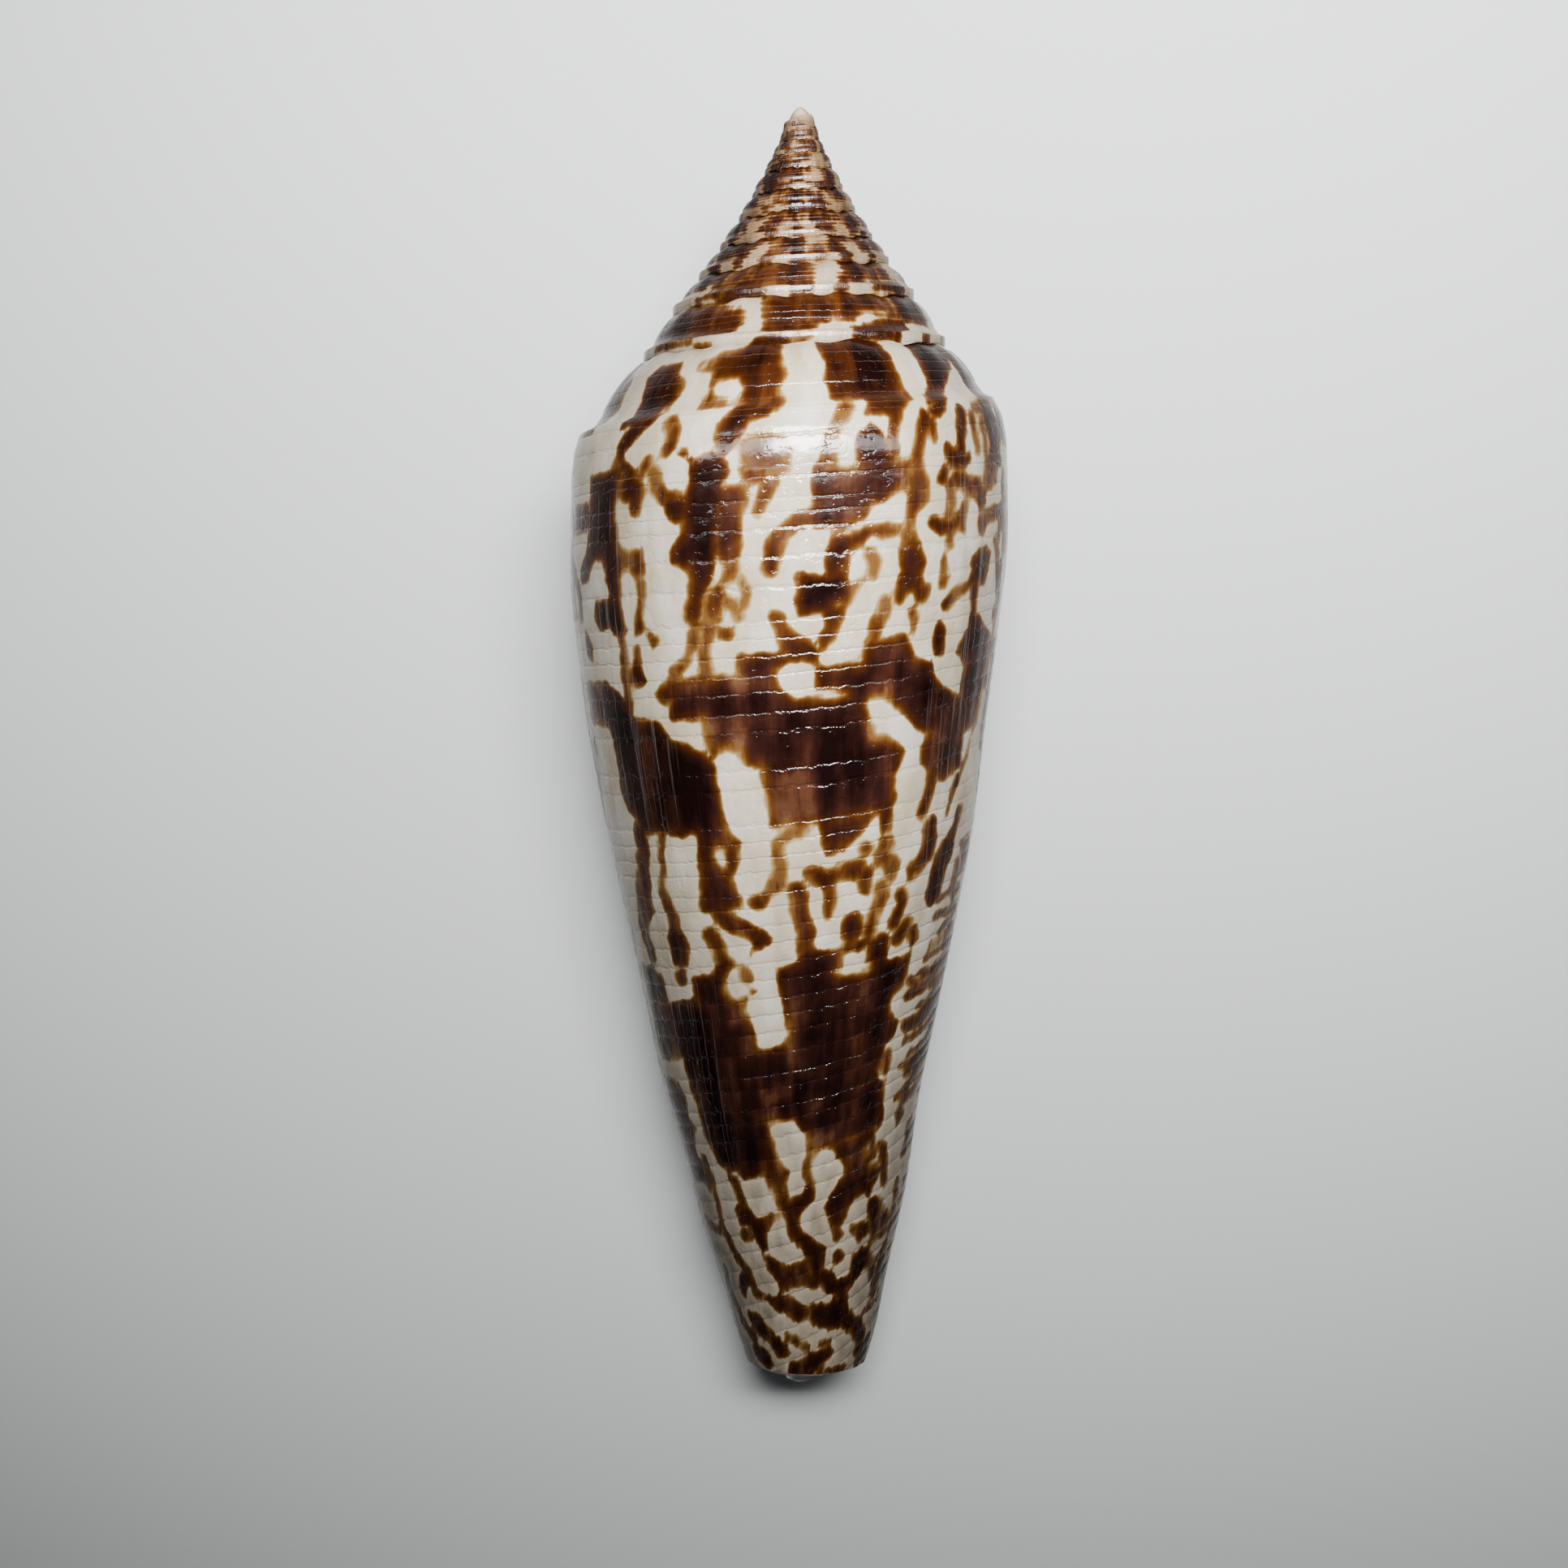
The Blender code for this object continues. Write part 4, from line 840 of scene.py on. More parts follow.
WHORL_MARKS = (
    (0, 0.85, ((143, 0.45), (140, 0.35), (131, 0.3), (130, 0.5), (126.5, 0.6), (127, 0.75), (130, 0.85),
        (132, 1.05), (141, 1.07), (140, 0.85), (141, 0.6))),
    (0, 0.5, ((124, 0.4), (119, 0.3), (108, 0.2), (108, 0.1), (97.5, 0.1), (97, 0.45), (94.5, 0.6),
        (97, 0.75), (95, 0.95), (96, 1.03), (104, 1.03), (105, 0.9), (118, 0.93), (118, 0.84),
        (116.5, 0.82), (117, 0.5))),
    (0, 0.9, ((106, 0.1), (99, 0.1), (98.5, 0.6), (97, 1.03), (104, 1.03), (105.5, 0.6))),
    (0, CLEAR, ((116, 0.62), (108, 0.58), (105.5, 0.7), (106, 0.86), (113, 0.84), (115.5, 0.8))),
    (0, 0.7, ((85.5, 0.1), (62, 0.1), (61, 0.5), (61, 0.92), (82, 0.93), (82, 0.76), (85, 0.66),
        (82, 0.5))),
    (0, 0.95, ((81, 0.62), (76, 0.5), (71, 0.5), (66, 0.68), (62, 0.76), (62, 0.93), (82, 0.93))),
    (0, 0.9, ((73, 0.92), (62, 0.9), (62, 1.04), (71, 1.04))),
    (0, 0.85, ((48, 0.1), (27, 0.1), (32, 0.4), (37, 0.6), (40, 0.75), (43, 0.8), (48, 0.98), (54, 1.05),
        (52, 0.92), (49, 0.85), (48.5, 0.5))),
    (0, 0.5, ((161, 0.5), (154, 0.45), (153, 0.8), (160, 0.9))),
    (1, 0.65, ((157, 0.35), (143, 0.26), (128, 0.3), (124, 0.4), (117, 0.48), (114, 0.62), (113, 0.75),
        (116, 0.88), (116, 1.05), (157, 1.05))),
    (1, 0.85, ((137, 0.45), (127, 0.5), (122, 0.7), (122, 0.97), (130, 0.97), (134, 0.7))),
    (1, 0.45, ((107, 0.12), (44, 0.12), (46.5, 0.3), (47, 0.5), (48, 0.72), (51, 0.72), (51, 0.55),
        (56, 0.53), (64, 0.58), (70, 0.7), (78, 0.75), (82, 0.82), (85, 0.95), (85, 1.05), (104, 1.05),
        (103, 0.75), (104, 0.55), (106, 0.4))),
    (1, 0.7, ((105, 0.24), (98, 0.24), (92, 0.4), (84, 0.48), (70, 0.5), (66, 0.58), (72, 0.7), (84, 0.76),
        (85, 0.95), (84, 1.05), (104, 1.05), (101, 0.82), (93, 0.74), (94, 0.55), (103, 0.48))),
    (1, 0.95, ((92, 0.6), (84, 0.6), (80, 0.68), (84, 0.88), (86, 1.02), (102, 1.02), (98, 0.85),
        (92, 0.78))),
    (1, 0.85, ((70, 1.05), (64, 0.88), (59, 0.84), (56, 0.75), (45, 0.76), (44, 0.95), (46, 1.05))),
    (1, 0.6, ((35, 0.55), (32, 0.4), (25, 0.35), (25, 0.8), (32, 0.75))),
    (2, 0.75, ((157, 0.12), (130, 0.12), (131, 0.5), (133, 0.8), (136, 0.95), (137.5, 0.78), (135.5, 0.64),
        (143, 0.7), (157, 0.72))),
    (2, 0.3, ((130, 0.12), (116, 0.12), (116, 0.6), (120, 0.8), (126, 0.95), (134, 1.0), (131, 0.8))),
    (2, 0.5, ((119, 0.12), (85, 0.12), (84.5, 0.5), (85, 0.8), (85.5, 1.05), (126, 1.05), (125, 0.85),
        (119, 0.7), (117, 0.5))),
    (2, 0.9, ((104, 0.56), (86, 0.56), (86, 1.04), (103, 1.04))),
    (2, 0.75, ((123, 0.75), (118, 0.7), (114, 0.95), (118, 1.04), (124, 1.0))),
    (2, 0.75, ((69, 0.12), (38, 0.12), (36.5, 0.3), (41, 0.36), (45, 0.5), (46, 0.7), (47, 0.85),
        (70, 0.88), (69, 0.8), (66, 0.72), (65.5, 0.5))),
    (2, 0.38, ((46, 0.38), (37, 0.45), (37, 0.78), (46, 0.85))),
    (2, 0.6, ((54, 0.9), (38, 0.88), (28, 0.98), (28, 1.05), (53, 1.05))),
    (3, 0.75, ((157, 0.12), (115, 0.12), (112, 0.3), (118, 0.45), (124, 0.55), (124, 0.75), (126, 1.04),
        (131, 1.04), (131, 0.85), (134, 0.76), (140, 0.8), (146, 0.98), (150, 0.8), (148, 0.6),
        (157, 0.55))),
    (3, 0.65, ((117, 0.12), (90, 0.12), (88.5, 0.4), (88, 0.6), (90, 0.75), (90, 1.04), (112, 1.04),
        (112, 0.92), (106, 0.72), (104, 0.55), (107, 0.42), (112, 0.35))),
    (3, CLEAR, ((101, 0.84), (96, 0.84), (96, 1.0), (101, 1.0))),
    (3, 0.7, ((71, 0.12), (41, 0.12), (41, 0.35), (47, 0.46), (62, 0.44), (66, 0.5), (64, 0.7), (62, 0.85),
        (60, 1.04), (67, 1.04), (71, 0.85), (74, 0.7), (71, 0.5))),
    (3, 0.6, ((49, 0.42), (43, 0.42), (40, 0.6), (36, 0.8), (38, 0.9), (46, 0.82), (48, 0.6))),
    (3, 0.4, ((84, 0.7), (76, 0.75), (74, 1.0), (84, 1.04))),
    (4, 0.6, ((157, 0.12), (40, 0.12), (35, 0.3), (36, 0.46), (50, 0.38), (60, 0.4), (110, 0.38),
        (135, 0.38), (157, 0.45))),
    (4, 0.8, ((157, 0.45), (140, 0.55), (139, 0.72), (150, 0.8), (135, 1.04), (157, 1.04))),
    (4, 0.85, ((114, 0.5), (108, 0.45), (103, 0.5), (103, 0.7), (111, 0.76), (112, 0.92), (120, 1.04),
        (125, 1.0), (118, 0.8))),
    (4, 0.8, ((101, 0.48), (60, 0.46), (60, 0.58), (70, 0.6), (70, 0.75), (64, 0.8), (66, 1.0), (77, 1.0),
        (79, 0.78), (84, 0.72), (84, 0.56), (101, 0.56))),
    (4, 0.4, ((97, 0.65), (90, 0.6), (89, 1.04), (95, 1.04))),
    (4, 0.7, ((55, 0.35), (46, 0.4), (40, 0.5), (34, 0.65), (38, 0.92), (44, 1.04), (50, 0.88), (55, 0.6))),
    (5, 0.55, ((157, 0.12), (84, 0.12), (86, 0.36), (105, 0.4), (130, 0.42), (140, 0.5), (142, 0.8),
        (132, 1.04), (146, 1.04), (157, 0.8))),
    (5, 0.85, ((104, 0.5), (85, 0.44), (78, 0.52), (72, 0.6), (66, 0.7), (65, 0.86), (70, 1.04), (78, 1.0),
        (78, 0.8), (87, 0.76), (89, 0.92), (96, 1.04), (106, 0.95))),
    (5, 0.55, ((66, 0.12), (36, 0.15), (34, 0.7), (48, 0.76), (55, 0.62), (54, 0.45), (66, 0.38))),
    (5, 0.35, ((118, 0.75), (105, 0.7), (105, 1.04), (116, 1.04))),
    (6, 0.6, ((157, 0.12), (90, 0.15), (75, 0.28), (75, 0.4), (100, 0.42), (92, 0.55), (88, 0.65),
        (88, 0.9), (98, 0.88), (105, 0.78), (118, 0.82), (126, 1.04), (140, 1.04), (143, 0.8), (157, 0.6))),
    (6, 0.5, ((54, 0.35), (37, 0.38), (35, 0.7), (43, 1.0), (53, 0.95))),
    (7, 0.6, ((126, 0.68), (112, 0.6), (105, 0.68), (102, 0.88), (118, 0.98), (128, 0.85))),
    (7, 0.55, ((96, 0.55), (80, 0.5), (71, 0.55), (74, 0.72), (80, 0.98), (93, 0.98), (95, 0.8))),
    (7, 0.45, ((157, 0.3), (134, 0.3), (130, 0.6), (140, 0.75), (157, 0.7))),
    (8, 0.5, ((138, 0.4), (116, 0.4), (116, 0.9), (137, 0.92))),
    (8, 0.5, ((87, 0.4), (52, 0.38), (50, 0.92), (85, 0.95))),
    (9, 0.45, ((130, 0.55), (100, 0.5), (99, 0.95), (128, 1.0))),
    (9, 0.45, ((80, 0.5), (50, 0.5), (50, 0.95), (78, 0.95))),
    (10, 0.4, ((118, 0.7), (80, 0.7), (80, 1.0), (116, 1.0))),
)


def on_whorl(whorl, tone, points, sheet=0.0):
    """A mark on a turn of the spire, with its shares turned to rows."""
    place_on = []
    for degrees, share in points:
        angle = math.radians(degrees) - TURN * whorl
        above, below = float(keel_height(angle - TURN)), float(keel_height(angle))
        height = above + share * (below - above)
        row = height if whorl else float(row_of(height, angle))
        place_on.append((degrees - FULL_CIRCLE * whorl, row - sheet))
    return (tone, 0, tuple(place_on))


# The underside and the far part of each flank have marks of the same kinds, drawn at random. They fill these
# stretches in degrees, in bands given by first and last row, how far apart they are, and how tall at most.
rng = np.random.default_rng(4)
RIBBON = 1.08
HIDDEN_STRETCHES = ((-131.0, 24.0), (166.0, 228.0))
HIDDEN_BANDS = ((17.3, 22.5, 11, 4.0), (23.0, 29.5, 12, 4.5), (30.8, 39.0, 17, 7.0), (40.0, 47.0, 10, 3.5),
                (48.5, 58.5, 20, 9.5), (59.0, 69.0, 14, 4.0), (70.0, 84.0, 22, 3.0))
BLOCK_SWAY, BLOCK_JITTER, LINE_SWAY = 0.9, 1.2, 1.3

# On the spire they run from one of these angles to the other on each turn. Past the lip's seam, those of the
# last turn belong a full circle further on. Counted back from the last turn, which is 0, those from
# DARK_TURNS on have no very dark ones.
HIDDEN_SPIRE = (158.0, 384.0)
SPIRE_TURNS, DARK_TURNS = 11, 7
FULL_CIRCLE = 360.0
LIP_SEAM = -130.0


def stepped_block(left, right, top, bottom, tone):
    """A block whose two sides step in and out from ribbon to ribbon."""
    rows = np.arange(top, bottom + 0.01, RIBBON)
    sway = np.cumsum(rng.normal(0, BLOCK_SWAY, len(rows)))
    one = [(left + s + rng.normal(0, BLOCK_JITTER), r) for s, r in zip(sway, rows)]
    other = [(right + s * 0.6 + rng.normal(0, BLOCK_JITTER), r) for s, r in zip(sway, rows)]
    return (tone, 0, tuple(one + other[::-1]))


def crooked_line(degrees, top, bottom, half_width, tone):
    """A short line that leads down the shell in steps."""
    rows = np.arange(top, bottom + 0.01, RIBBON * 0.6)
    sway = np.cumsum(rng.normal(0, LINE_SWAY, len(rows)))
    return (tone, half_width, tuple((degrees + s, r) for s, r in zip(sway, rows)))


hidden = []
for start_degrees, end_degrees in HIDDEN_STRETCHES:
    for top, bottom, step, tallest in HIDDEN_BANDS:
        for degrees in np.arange(start_degrees, end_degrees, step):
            left = degrees + rng.uniform(0, 0.35 * step)
            first = rng.uniform(top, max(bottom - tallest, top + 0.1))
            last = min(first + rng.uniform(0.45, 1.0) * tallest, bottom + 0.5)
            right = left + step * rng.uniform(0.35, 0.95)
            hidden.append(stepped_block(left, right, first, last, rng.uniform(0.55, 1.0)))
            for _ in range(2):
                first = rng.uniform(top, bottom)
                across, last = degrees + rng.uniform(0, step), first + rng.uniform(1.5, 4.5)
                half_width, tone = rng.uniform(0.15, 0.4), rng.uniform(0.35, 0.8)
                hidden.append(crooked_line(across, first, last, half_width, tone))

face_marks = [on_whorl(*mark, FACE_SHEET) for mark in FACE_MARKS]
spire_marks = [on_whorl(*mark) for mark in WHORL_MARKS]
for whorl in range(SPIRE_TURNS):
    turned_back = 0.0 if whorl else FULL_CIRCLE
    degrees = HIDDEN_SPIRE[0] - turned_back
    while degrees < HIDDEN_SPIRE[1] - turned_back:
        wide = rng.uniform(8, 30)
        top, bottom = rng.choice([0.1, 0.3]), rng.choice([0.75, 1.04])
        slant, middle = rng.uniform(-5, 5), rng.uniform(0.45, 0.65)
        tone = rng.uniform(0.4, 0.9 if whorl < DARK_TURNS else 0.6)
        onto = FULL_CIRCLE if whorl == 0 and degrees < LIP_SEAM else 0.0
        corners = ((0.0, top), (wide, top), (wide + slant, middle), (wide * 0.9 + slant, bottom),
                   (slant, bottom), (-slant * 0.6, middle))
        spire_marks.append(on_whorl(whorl, tone, [(degrees + onto + across, at) for across, at in corners]))
        small, beside = rng.uniform(4, 9), degrees + rng.uniform(0, wide)
        corners = ((0.0, -0.1), (small, -0.1), (small, 0.18), (0.0, 0.18))
        on_face_below = [(beside + across, at) for across, at in corners]
        face_marks.append(on_whorl(whorl, 0.7, on_face_below, FACE_SHEET))
        degrees += wide + rng.uniform(5, 16)

angle, row, share = unroll(shell)
degrees_round = np.degrees(angle)
on_face = share < face_share(angle) - FACE_MARGIN
depth, tone = paint(degrees_round, row, MARKS)
for more in (hidden, spire_marks):
    more_depth, more_tone = paint(degrees_round, row, more)
    covers = more_depth > depth
    depth, tone = np.where(covers, more_depth, depth), np.where(covers, more_tone, tone)
for zone_tone, points in TONE_ZONES:
    inside = np.clip(0.5 + mark_depth(degrees_round, row, 0, points) / ZONE_EDGE, 0.0, 1.0)
    tone += inside * (zone_tone - tone)
face_depth, face_tone = paint(degrees_round, row - FACE_SHEET, face_marks)
depth, tone = np.where(on_face, face_depth, depth), np.where(on_face, face_tone, tone)
below_keel = np.interp(row, np.concatenate([[SHOULDER], grooves]), np.arange(len(grooves) + 1.0))
ribbon = np.where(share < 1, (share - 1) * RAMP_STRIAE, below_keel)


def add_numbers(piece, name, kind, values):
    """Keeps values under a name at the vertices, for the materials."""
    layer = piece.data.attributes.new(name, kind, "POINT")
    layer.data.foreach_set("value" if kind == "FLOAT" else "vector", np.asarray(values, float).reshape(-1))


add_numbers(shell, "depth", "FLOAT", depth)
add_numbers(shell, "tone", "FLOAT", tone)
add_numbers(shell, "ribbon", "FLOAT", ribbon)
ring = np.stack([RING_RADIUS * np.cos(angle), RING_RADIUS * np.sin(angle), row], axis=-1)
add_numbers(shell, "ring", "FLOAT_VECTOR", ring)


def node(tree, kind, **settings):
    """A node with its settings; a setting of a socket is given by the socket's name."""
    made = tree.nodes.new("ShaderNode" + kind)
    for name, value in settings.items():
        if hasattr(made, name):
            setattr(made, name, value)
        else:
            made.inputs[name].default_value = value
    return made


def feed(tree, source, target):
    tree.links.new(source, target)


def calculate(tree, operation, first, second=None, third=None):
    """A Math node on sockets or plain numbers."""
    made = tree.nodes.new("ShaderNodeMath")
    made.operation = operation
    for socket, value in zip(made.inputs, (first, second, third)):
        if isinstance(value, (int, float)):
            socket.default_value = value
        elif value is not None:
            tree.links.new(value, socket)
    return made.outputs[0]


def blend(tree, share, first, second, mode="MIX"):
    """Two colours mixed, with this share of the second."""
    made = tree.nodes.new("ShaderNodeMix")
    made.data_type = "RGBA"
    made.blend_type = mode
    for socket, value in zip((made.inputs[0], made.inputs[6], made.inputs[7]), (share, first, second)):
        if isinstance(value, (int, float, tuple)):
            socket.default_value = value
        else:
            tree.links.new(value, socket)
    return made.outputs[2]


def colour_ramp(tree, value, stops):
    """A value turned to a colour between stops, each a position and a colour."""
    made = tree.nodes.new("ShaderNodeValToRGB")
    while len(made.color_ramp.elements) < len(stops):
        made.color_ramp.elements.new(1.0)
    for element, (position, colour) in zip(made.color_ramp.elements, stops):
        element.position = position
        element.color = (*colour, 1.0)
    tree.links.new(value, made.inputs[0])
    return made.outputs[0]


def in_range(tree, value, low, high, at_low=0.0, at_high=1.0, rise="SMOOTHSTEP"):
    """A value as it runs from low to high, turned to a run from at_low to at_high and held beyond both."""
    made = node(tree, "MapRange", interpolation_type=rise)
    feed(tree, value, made.inputs["Value"])
    for socket, number in zip(made.inputs[1:5], (low, high, at_low, at_high)):
        socket.default_value = number
    return made.outputs[0]


def open_material(name):
    """The node tree of a material, and its shader."""
    material = bpy.data.materials[name]
    material.use_nodes = True
    return material.node_tree, material.node_tree.nodes["Principled BSDF"]


# How far the brown soaks out of a mark and how fast it fades, in mm, and its least strength inside
SOAK_OUTSIDE = 0.25
SOAK_WIDTH = 0.46
LEAST_PIGMENT = 0.36

# Rows between which the look changes: the cream tip ends, the worn old spire with its painted shade ends,
# the body begins, painted sheen on its growth threads begins, and the darker anterior end, its own colour
# deepened by painted shade, comes in
TIP_ROWS = (0.3, 1.1)
OLD_SPIRE_ROWS = (6.5, 17.5)
BODY_ROWS = (15.0, 21.0)
THREAD_ROWS = (19.0, 23.0)
ANTERIOR_ROWS = (34.0, 74.0)

# How far out to the sides, which end at RING_RADIUS, painted shade darkens the whole colour, and
# painted sheen shows along the growth threads, and how strongly
FLANK_REACH, FLANK_SHADE = (2.0, 10.2), 0.56
THREAD_REACH, THREAD_STRENGTH = (4.5, 8.5), 0.5

# Where the warmer ground round a mark begins and is full, as mm inside the mark, so below zero outside it
HALO_REACH, HALO_STRENGTH = (-1.3, -0.2), 0.40

# Colours as linear red, green and blue, along the clouds of the ground or along the strength of the brown
GROUND = ((0.35, (0.38, 0.32, 0.215)), (0.5, (0.475, 0.42, 0.325)), (0.65, (0.57, 0.53, 0.47)))
# The old spire's ground is its own brown, darkened further by painted shade
OLD_GROUND_AND_SHADE = ((0.4, (0.080, 0.040, 0.017)), (0.6, (0.190, 0.116, 0.062)))
# The anterior end's ground is its own darker colour, darkened further by painted shade
ANTERIOR_GROUND_AND_SHADE = ((0.4, (0.055, 0.043, 0.028)), (0.6, (0.125, 0.103, 0.076)))
RIM = ((0.0, (1.0, 1.0, 1.0)), (0.08, (0.66, 0.51, 0.29)), (0.18, (0.31, 0.165, 0.052)),
       (0.32, (0.150, 0.054, 0.0125)), (0.48, (0.074, 0.0215, 0.0060)), (0.95, (0.013, 0.0035, 0.0029)))
HEART = ((0.15, (0.40, 0.27, 0.20)), (0.32, (0.155, 0.066, 0.040)), (0.48, (0.074, 0.026, 0.018)),
         (0.66, (0.038, 0.0125, 0.0110)), (0.95, (0.012, 0.0036, 0.0040)))
# The warm halo round marks, and the old spire's, which painted shade darkens
HALO, OLD_HALO = (0.42, 0.355, 0.265, 1.0), (0.25, 0.155, 0.073, 1.0)
TIP_CREAM = (0.42, 0.31, 0.19, 1.0)
# The grey of the painted sheen on the growth threads
THREAD_SHEEN_GREY = (0.20, 0.18, 0.17, 1.0)
BLACK = (0.0, 0.0, 0.0, 1.0)

PLAIN_GLOSS = 0.28
GLOSS_ON_TOP, GLOSS_AT_EDGES = 0.45, 0.03
BUMP_HEIGHT = 0.000035


def patterned_shell():
    """The glossy outside: cream ground, soft-edged brown marks, and fine spiral and growth lines."""
    tree, shader = open_material("patterned_shell")
    ring = node(tree, "Attribute", attribute_name="ring").outputs["Vector"]
    depth, tone, ribbon = (node(tree, "Attribute", attribute_name=name).outputs["Fac"]
                           for name in ("depth", "tone", "ribbon"))
    parts = node(tree, "SeparateXYZ")
    feed(tree, ring, parts.inputs[0])
    side, top, row = parts.outputs

    def noise_at(across, along, detail=2.0, roughness=0.5, value=None, offset=0.0):
        """Noise round the shell and down its rows, or down another value, so many times finer than 1 mm."""
        at = node(tree, "CombineXYZ")
        feed(tree, calculate(tree, "MULTIPLY", side, across), at.inputs[0])
        feed(tree, calculate(tree, "MULTIPLY", top, across), at.inputs[1])
        feed(tree, calculate(tree, "MULTIPLY_ADD", value or row, along, offset), at.inputs[2])
        made = node(tree, "TexNoise", Scale=1.0, Detail=detail, Roughness=roughness)
        feed(tree, at.outputs[0], made.inputs["Vector"])
        return calculate(tree, "SUBTRACT", made.outputs["Fac"], 0.5)

    def sum_of(start, *terms):
        """A start plus each value times its weight."""
        total = start
        for value, weight in terms:
            total = calculate(tree, "MULTIPLY_ADD", value, weight, total)
        return total

    # The brown: its edge wavers, steps from ribbon to ribbon and, on the old spire, frays into stripes
    on_body = in_range(tree, row, *BODY_ROWS)
    anterior = in_range(tree, row, *ANTERIOR_ROWS)
    aged = in_range(tree, row, *OLD_SPIRE_ROWS, 1.0, 0.0)
    ribbon_number = calculate(tree, "FLOOR", ribbon)
    stripes = calculate(tree, "SUBTRACT", calculate(tree, "PINGPONG", ribbon, 0.5), 0.22)
    edge = sum_of(depth, (noise_at(0.9, 1.0, 1.0, value=ribbon_number, offset=3.0), 0.25),
                  (noise_at(0.75, 0.5, 1.0, offset=17.0), 0.60), (noise_at(2.2, 1.4, 1.0, offset=31.0), 0.28),
                  (calculate(tree, "MULTIPLY", stripes, aged), 0.6))
    soak = calculate(tree, "MULTIPLY_ADD", edge, -1.0 / SOAK_WIDTH, -SOAK_OUTSIDE / SOAK_WIDTH)
    faded = calculate(tree, "EXPONENT", calculate(tree, "MINIMUM", soak, 0.0))
    # The brown is stronger on the spire and at the anterior end, partly as painted shade
    strength = sum_of(calculate(tree, "MULTIPLY_ADD", tone, 0.72, 0.28),
                      (noise_at(0.8, 1.0, 1.0, value=ribbon_number, offset=47.0), 0.70),
                      (noise_at(0.6, 0.12, 1.0, offset=5.0), 1.5), (noise_at(1.4, 0.9, offset=23.0), 0.5),
                      (noise_at(4.5, 0.3, 3.0, 0.6), 0.35), (on_body, -0.11), (anterior, 0.05))
    pigment = calculate(tree, "MULTIPLY", calculate(tree, "SUBTRACT", 1.0, faded),
                        calculate(tree, "MAXIMUM", strength, LEAST_PIGMENT))
    within = calculate(tree, "MULTIPLY", in_range(tree, edge, 0.10, 0.55), on_body)
    stain = blend(tree, within, colour_ramp(tree, pigment, RIM), colour_ramp(tree, pigment, HEART))

    # The ground under it, deepened by painted shade on the old spire and at the anterior end, with a warmer
    # halo round each mark
    mottle = calculate(tree, "ADD", noise_at(0.5, 0.25, 4.0, 0.6, offset=9.0), 0.5)
    ground, old_ground_and_shade, anterior_ground_and_shade = (colour_ramp(tree, mottle, stops)
                                           for stops in (GROUND, OLD_GROUND_AND_SHADE, ANTERIOR_GROUND_AND_SHADE))
    ground = blend(tree, anterior, blend(tree, aged, ground, old_ground_and_shade), anterior_ground_and_shade)
    near_mark = in_range(tree, edge, *HALO_REACH, 0.0, HALO_STRENGTH)
    ground = blend(tree, near_mark, ground, blend(tree, aged, HALO, OLD_HALO))

    # Both together, the pale first turns, painted sheen on the threads and painted shade on the flanks
    seen = blend(tree, 1.0, ground, stain, "MULTIPLY")
    seen = blend(tree, in_range(tree, row, *TIP_ROWS, 1.0, 0.0), seen, TIP_CREAM)
    sideways = calculate(tree, "ABSOLUTE", side)
    # Painted sheen: pale grey streaks along fine growth threads, towards both sides
    fine = noise_at(7.0, 0.10, 3.0, 0.6, offset=101.0)
    thread_sheen = calculate(tree, "MULTIPLY", in_range(tree, fine, 0.06, 0.20, 0.0, THREAD_STRENGTH),
                        in_range(tree, sideways, *THREAD_REACH))
    thread_sheen = calculate(tree, "MULTIPLY", thread_sheen, in_range(tree, row, *THREAD_ROWS))
    seen = blend(tree, thread_sheen, seen, THREAD_SHEEN_GREY)
    # Painted shade: the whole colour darkens towards black out on both flanks
    painted_flank_shade = in_range(tree, sideways, *FLANK_REACH, 0.0, FLANK_SHADE)
    feed(tree, blend(tree, painted_flank_shade, seen, BLACK), shader.inputs["Base Color"])

    # Grooves between the ribbons, small dents, and the uneven polish
    wobbly = sum_of(ribbon, (noise_at(1.6, 1.6, 3.0, 0.6, offset=61.0), 0.45))
    line = in_range(tree, calculate(tree, "PINGPONG", wobbly, 0.5), 0.0, 0.13)
    dents = in_range(tree, noise_at(2.4, 2.4, offset=71.0), 0.08, 0.22)
    fainter = calculate(tree, "MULTIPLY_ADD", on_body, 0.45, 0.45)
    lift = sum_of(calculate(tree, "MULTIPLY", line, fainter), (dents, -0.5),
                  (noise_at(3.0, 0.8, offset=83.0), 0.5), (noise_at(0.9, 0.9, 3.0, offset=91.0), 1.1))
    bump = node(tree, "Bump", Strength=1.0, Distance=BUMP_HEIGHT)
    feed(tree, lift, bump.inputs["Height"])
    feed(tree, bump.outputs[0], shader.inputs["Normal"])
    slant = node(tree, "LayerWeight", Blend=0.5).outputs["Facing"]
    gloss = in_range(tree, slant, 0.06, 0.45, GLOSS_ON_TOP, GLOSS_AT_EDGES, "LINEAR")
    shader.inputs["Specular IOR Level"].default_value = PLAIN_GLOSS
    feed(tree, gloss, shader.inputs["Specular IOR Level"])
    feed(tree, sum_of(0.15, (noise_at(3.0, 3.0), 0.16), (aged, 0.16)), shader.inputs["Roughness"])


def clouded(name, scale, stops):
    """Gives a material soft clouds of colour, and returns its shader."""
    tree, shader = open_material(name)
    cloud = node(tree, "TexNoise", Scale=scale, Detail=3.0)
    feed(tree, node(tree, "TexCoord").outputs["Object"], cloud.inputs["Vector"])
    feed(tree, colour_ramp(tree, cloud.outputs["Fac"], stops), shader.inputs["Base Color"])
    return shader


def aperture_porcelain():
    """The bare white inside, smooth and glossy."""
    shader = clouded("aperture_porcelain", 180.0, ((0.3, (0.74, 0.70, 0.66)), (0.7, (0.84, 0.82, 0.80))))
    shader.inputs["Roughness"].default_value = 0.18


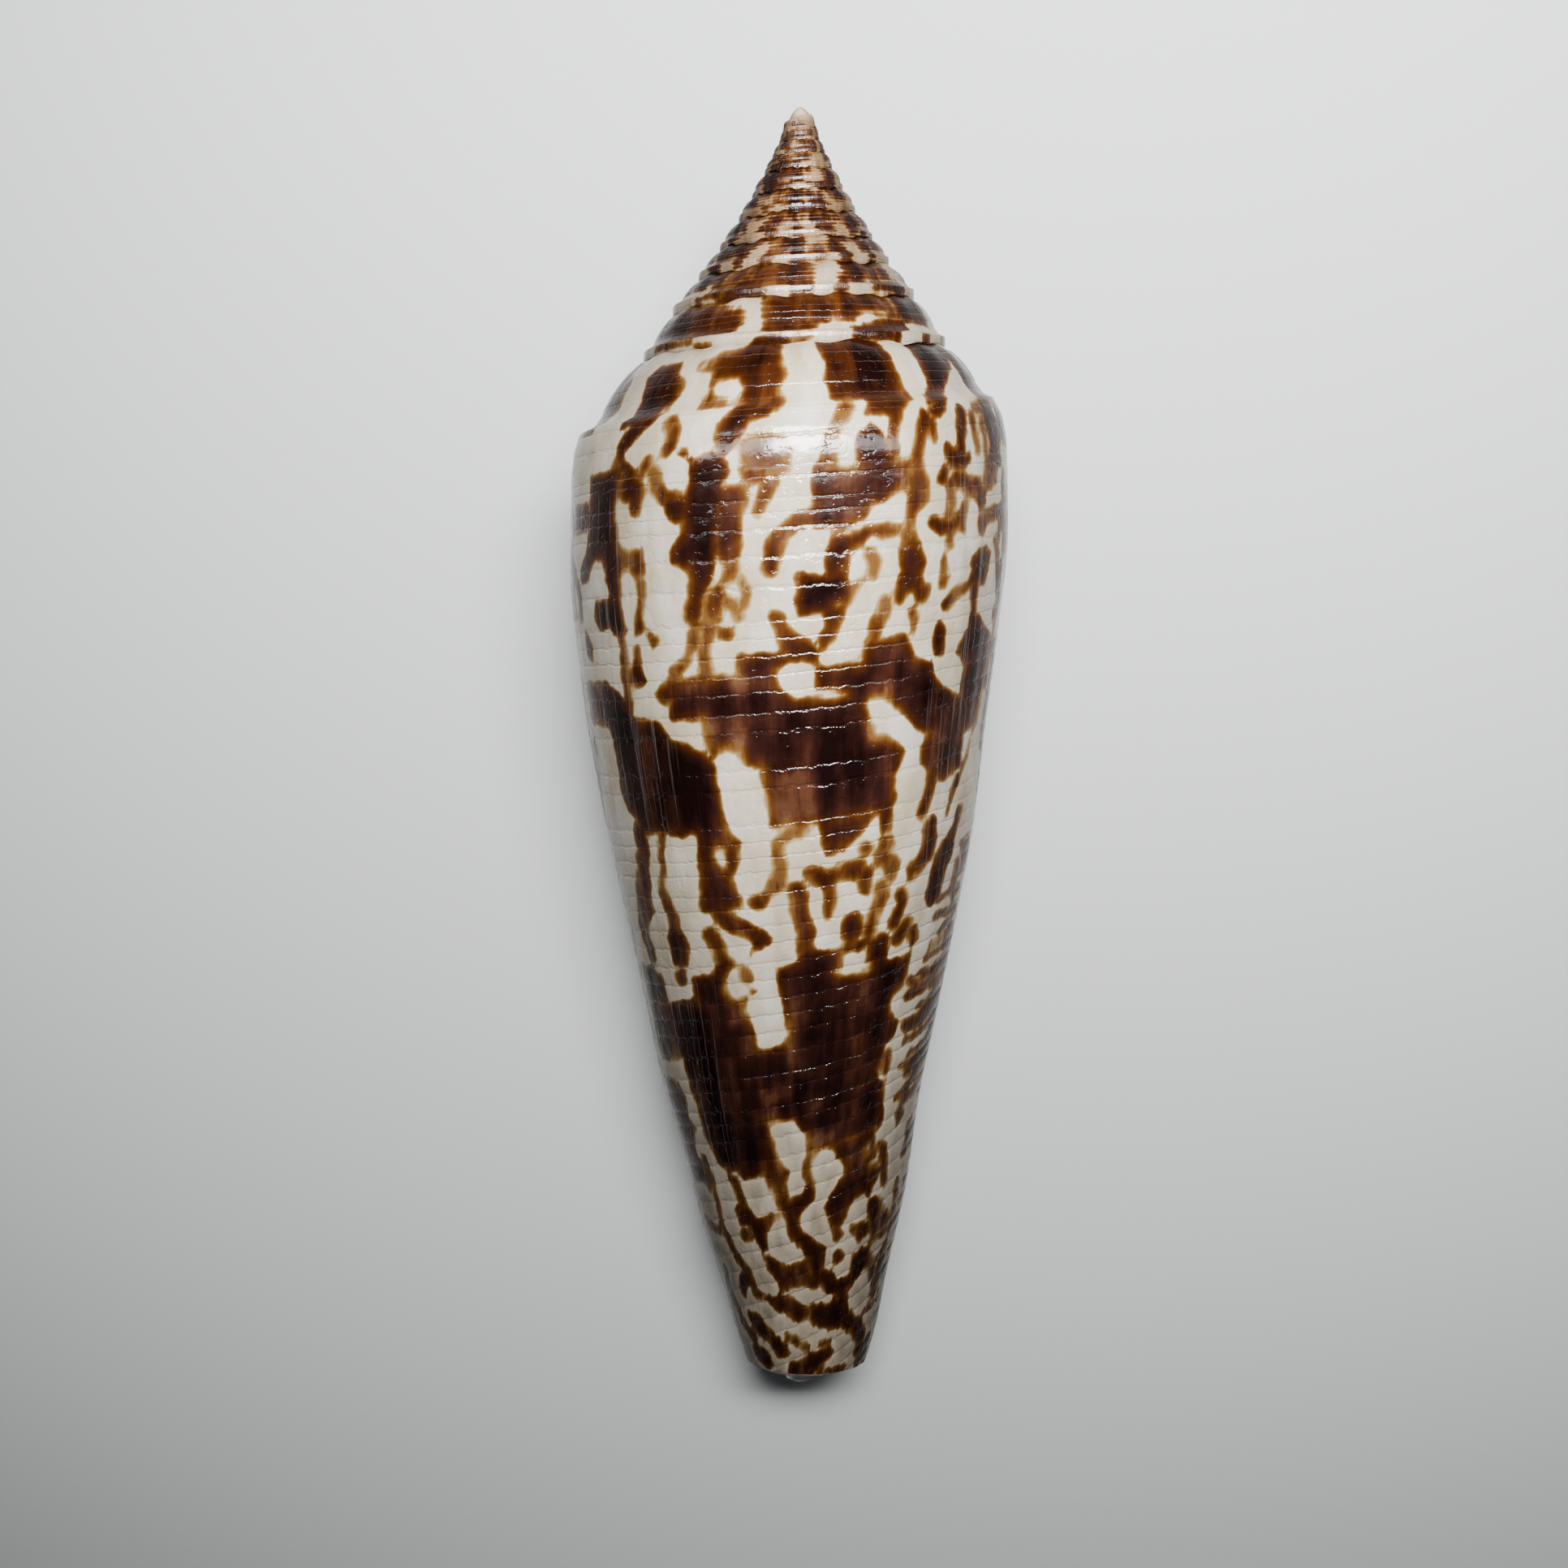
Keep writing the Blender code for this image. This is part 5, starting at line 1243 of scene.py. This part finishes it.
def columella_tip():
    """The worn anterior end, a dull reddish brown."""
    shader = clouded("columella_tip", 900.0, ((0.35, (0.16, 0.070, 0.055)), (0.65, (0.42, 0.27, 0.22))))
    shader.inputs["Roughness"].default_value = 0.5
    shader.inputs["Specular IOR Level"].default_value = 0.15


patterned_shell()
aperture_porcelain()
columella_tip()

# Floor, lights and camera
# The shell lies on a plain pale floor, under two lamps straight above it. One lights it, and the other shows
# in its reflections alone, as thin glints along the grooves. The camera looks almost straight down.

FLOOR_SIZE, FLOOR_COLOUR, FLOOR_ROUGHNESS = 1.6, (0.382, 0.392, 0.39, 1), 0.9
LAMP_AIM, LAMP_DIRECTION, LAMP_DISTANCE = (0.022, 0.069, 0.0), (0, 0, 1.0), 0.20
KEY_SIZE, KEY_POWER, KEY_SPREAD = (0.13, 0.05), 0.585, math.radians(80)
GLINTS_SIZE, GLINTS_POWER = (0.50, 0.045), 0.75
SKY_COLOUR, SKY_STRENGTH = (0.85, 0.92, 1.0, 1), 0.05
CAMERA_DISTANCE = 121.7
CAMERA_TILT = math.radians(7.6)
CAMERA_AIM = (-0.96, -40.74, 0.0)
LENS, SENSOR_WIDTH, NEAREST = 44.72, 36.0, 0.01

bpy.ops.mesh.primitive_plane_add(size=FLOOR_SIZE, location=(0, 0, 0))
floor = bpy.context.object
floor.name = "pale_floor"
floor.data.materials.append(bpy.data.materials.new("pale_floor"))
floor_shader = open_material("pale_floor")[1]
floor_shader.inputs["Base Color"].default_value = FLOOR_COLOUR
floor_shader.inputs["Roughness"].default_value = FLOOR_ROUGHNESS


def add_softbox(name, size, power):
    """A rectangular area light that shines straight down on the shell."""
    data = bpy.data.lights.new(name, "AREA")
    data.shape = "RECTANGLE"
    data.size, data.size_y = size
    data.energy = power
    lamp = bpy.data.objects.new(name, data)
    bpy.context.scene.collection.objects.link(lamp)
    way = Vector(LAMP_DIRECTION).normalized()
    lamp.location = Vector(LAMP_AIM) + way * LAMP_DISTANCE
    lamp.rotation_mode = "QUATERNION"
    lamp.rotation_quaternion = way.to_track_quat("Z", "Y")
    return lamp


key = add_softbox("key", KEY_SIZE, KEY_POWER)
key.data.spread = KEY_SPREAD
glints = add_softbox("glints", GLINTS_SIZE, GLINTS_POWER)
glints.visible_diffuse = False
world = bpy.data.worlds.new("studio")
world.use_nodes = True
sky = world.node_tree.nodes["Background"]
sky.inputs["Color"].default_value = SKY_COLOUR
sky.inputs["Strength"].default_value = SKY_STRENGTH
bpy.context.scene.world = world

back = np.array([0.0, math.sin(CAMERA_TILT), math.cos(CAMERA_TILT)])
upward = np.array([0.0, math.cos(CAMERA_TILT), -math.sin(CAMERA_TILT)])
camera_data = bpy.data.cameras.new("camera")
camera_data.sensor_width = SENSOR_WIDTH
camera_data.lens = LENS
camera_data.clip_start = NEAREST
camera = bpy.data.objects.new("camera", camera_data)
bpy.context.scene.collection.objects.link(camera)
axes = np.stack([turned @ np.cross(upward, back), turned @ upward, turned @ back], axis=1)
at_camera = Matrix.Translation(lay_down(np.array(CAMERA_AIM) + CAMERA_DISTANCE * back))
camera.matrix_world = at_camera @ Matrix(axes.tolist()).to_4x4()
bpy.context.scene.camera = camera
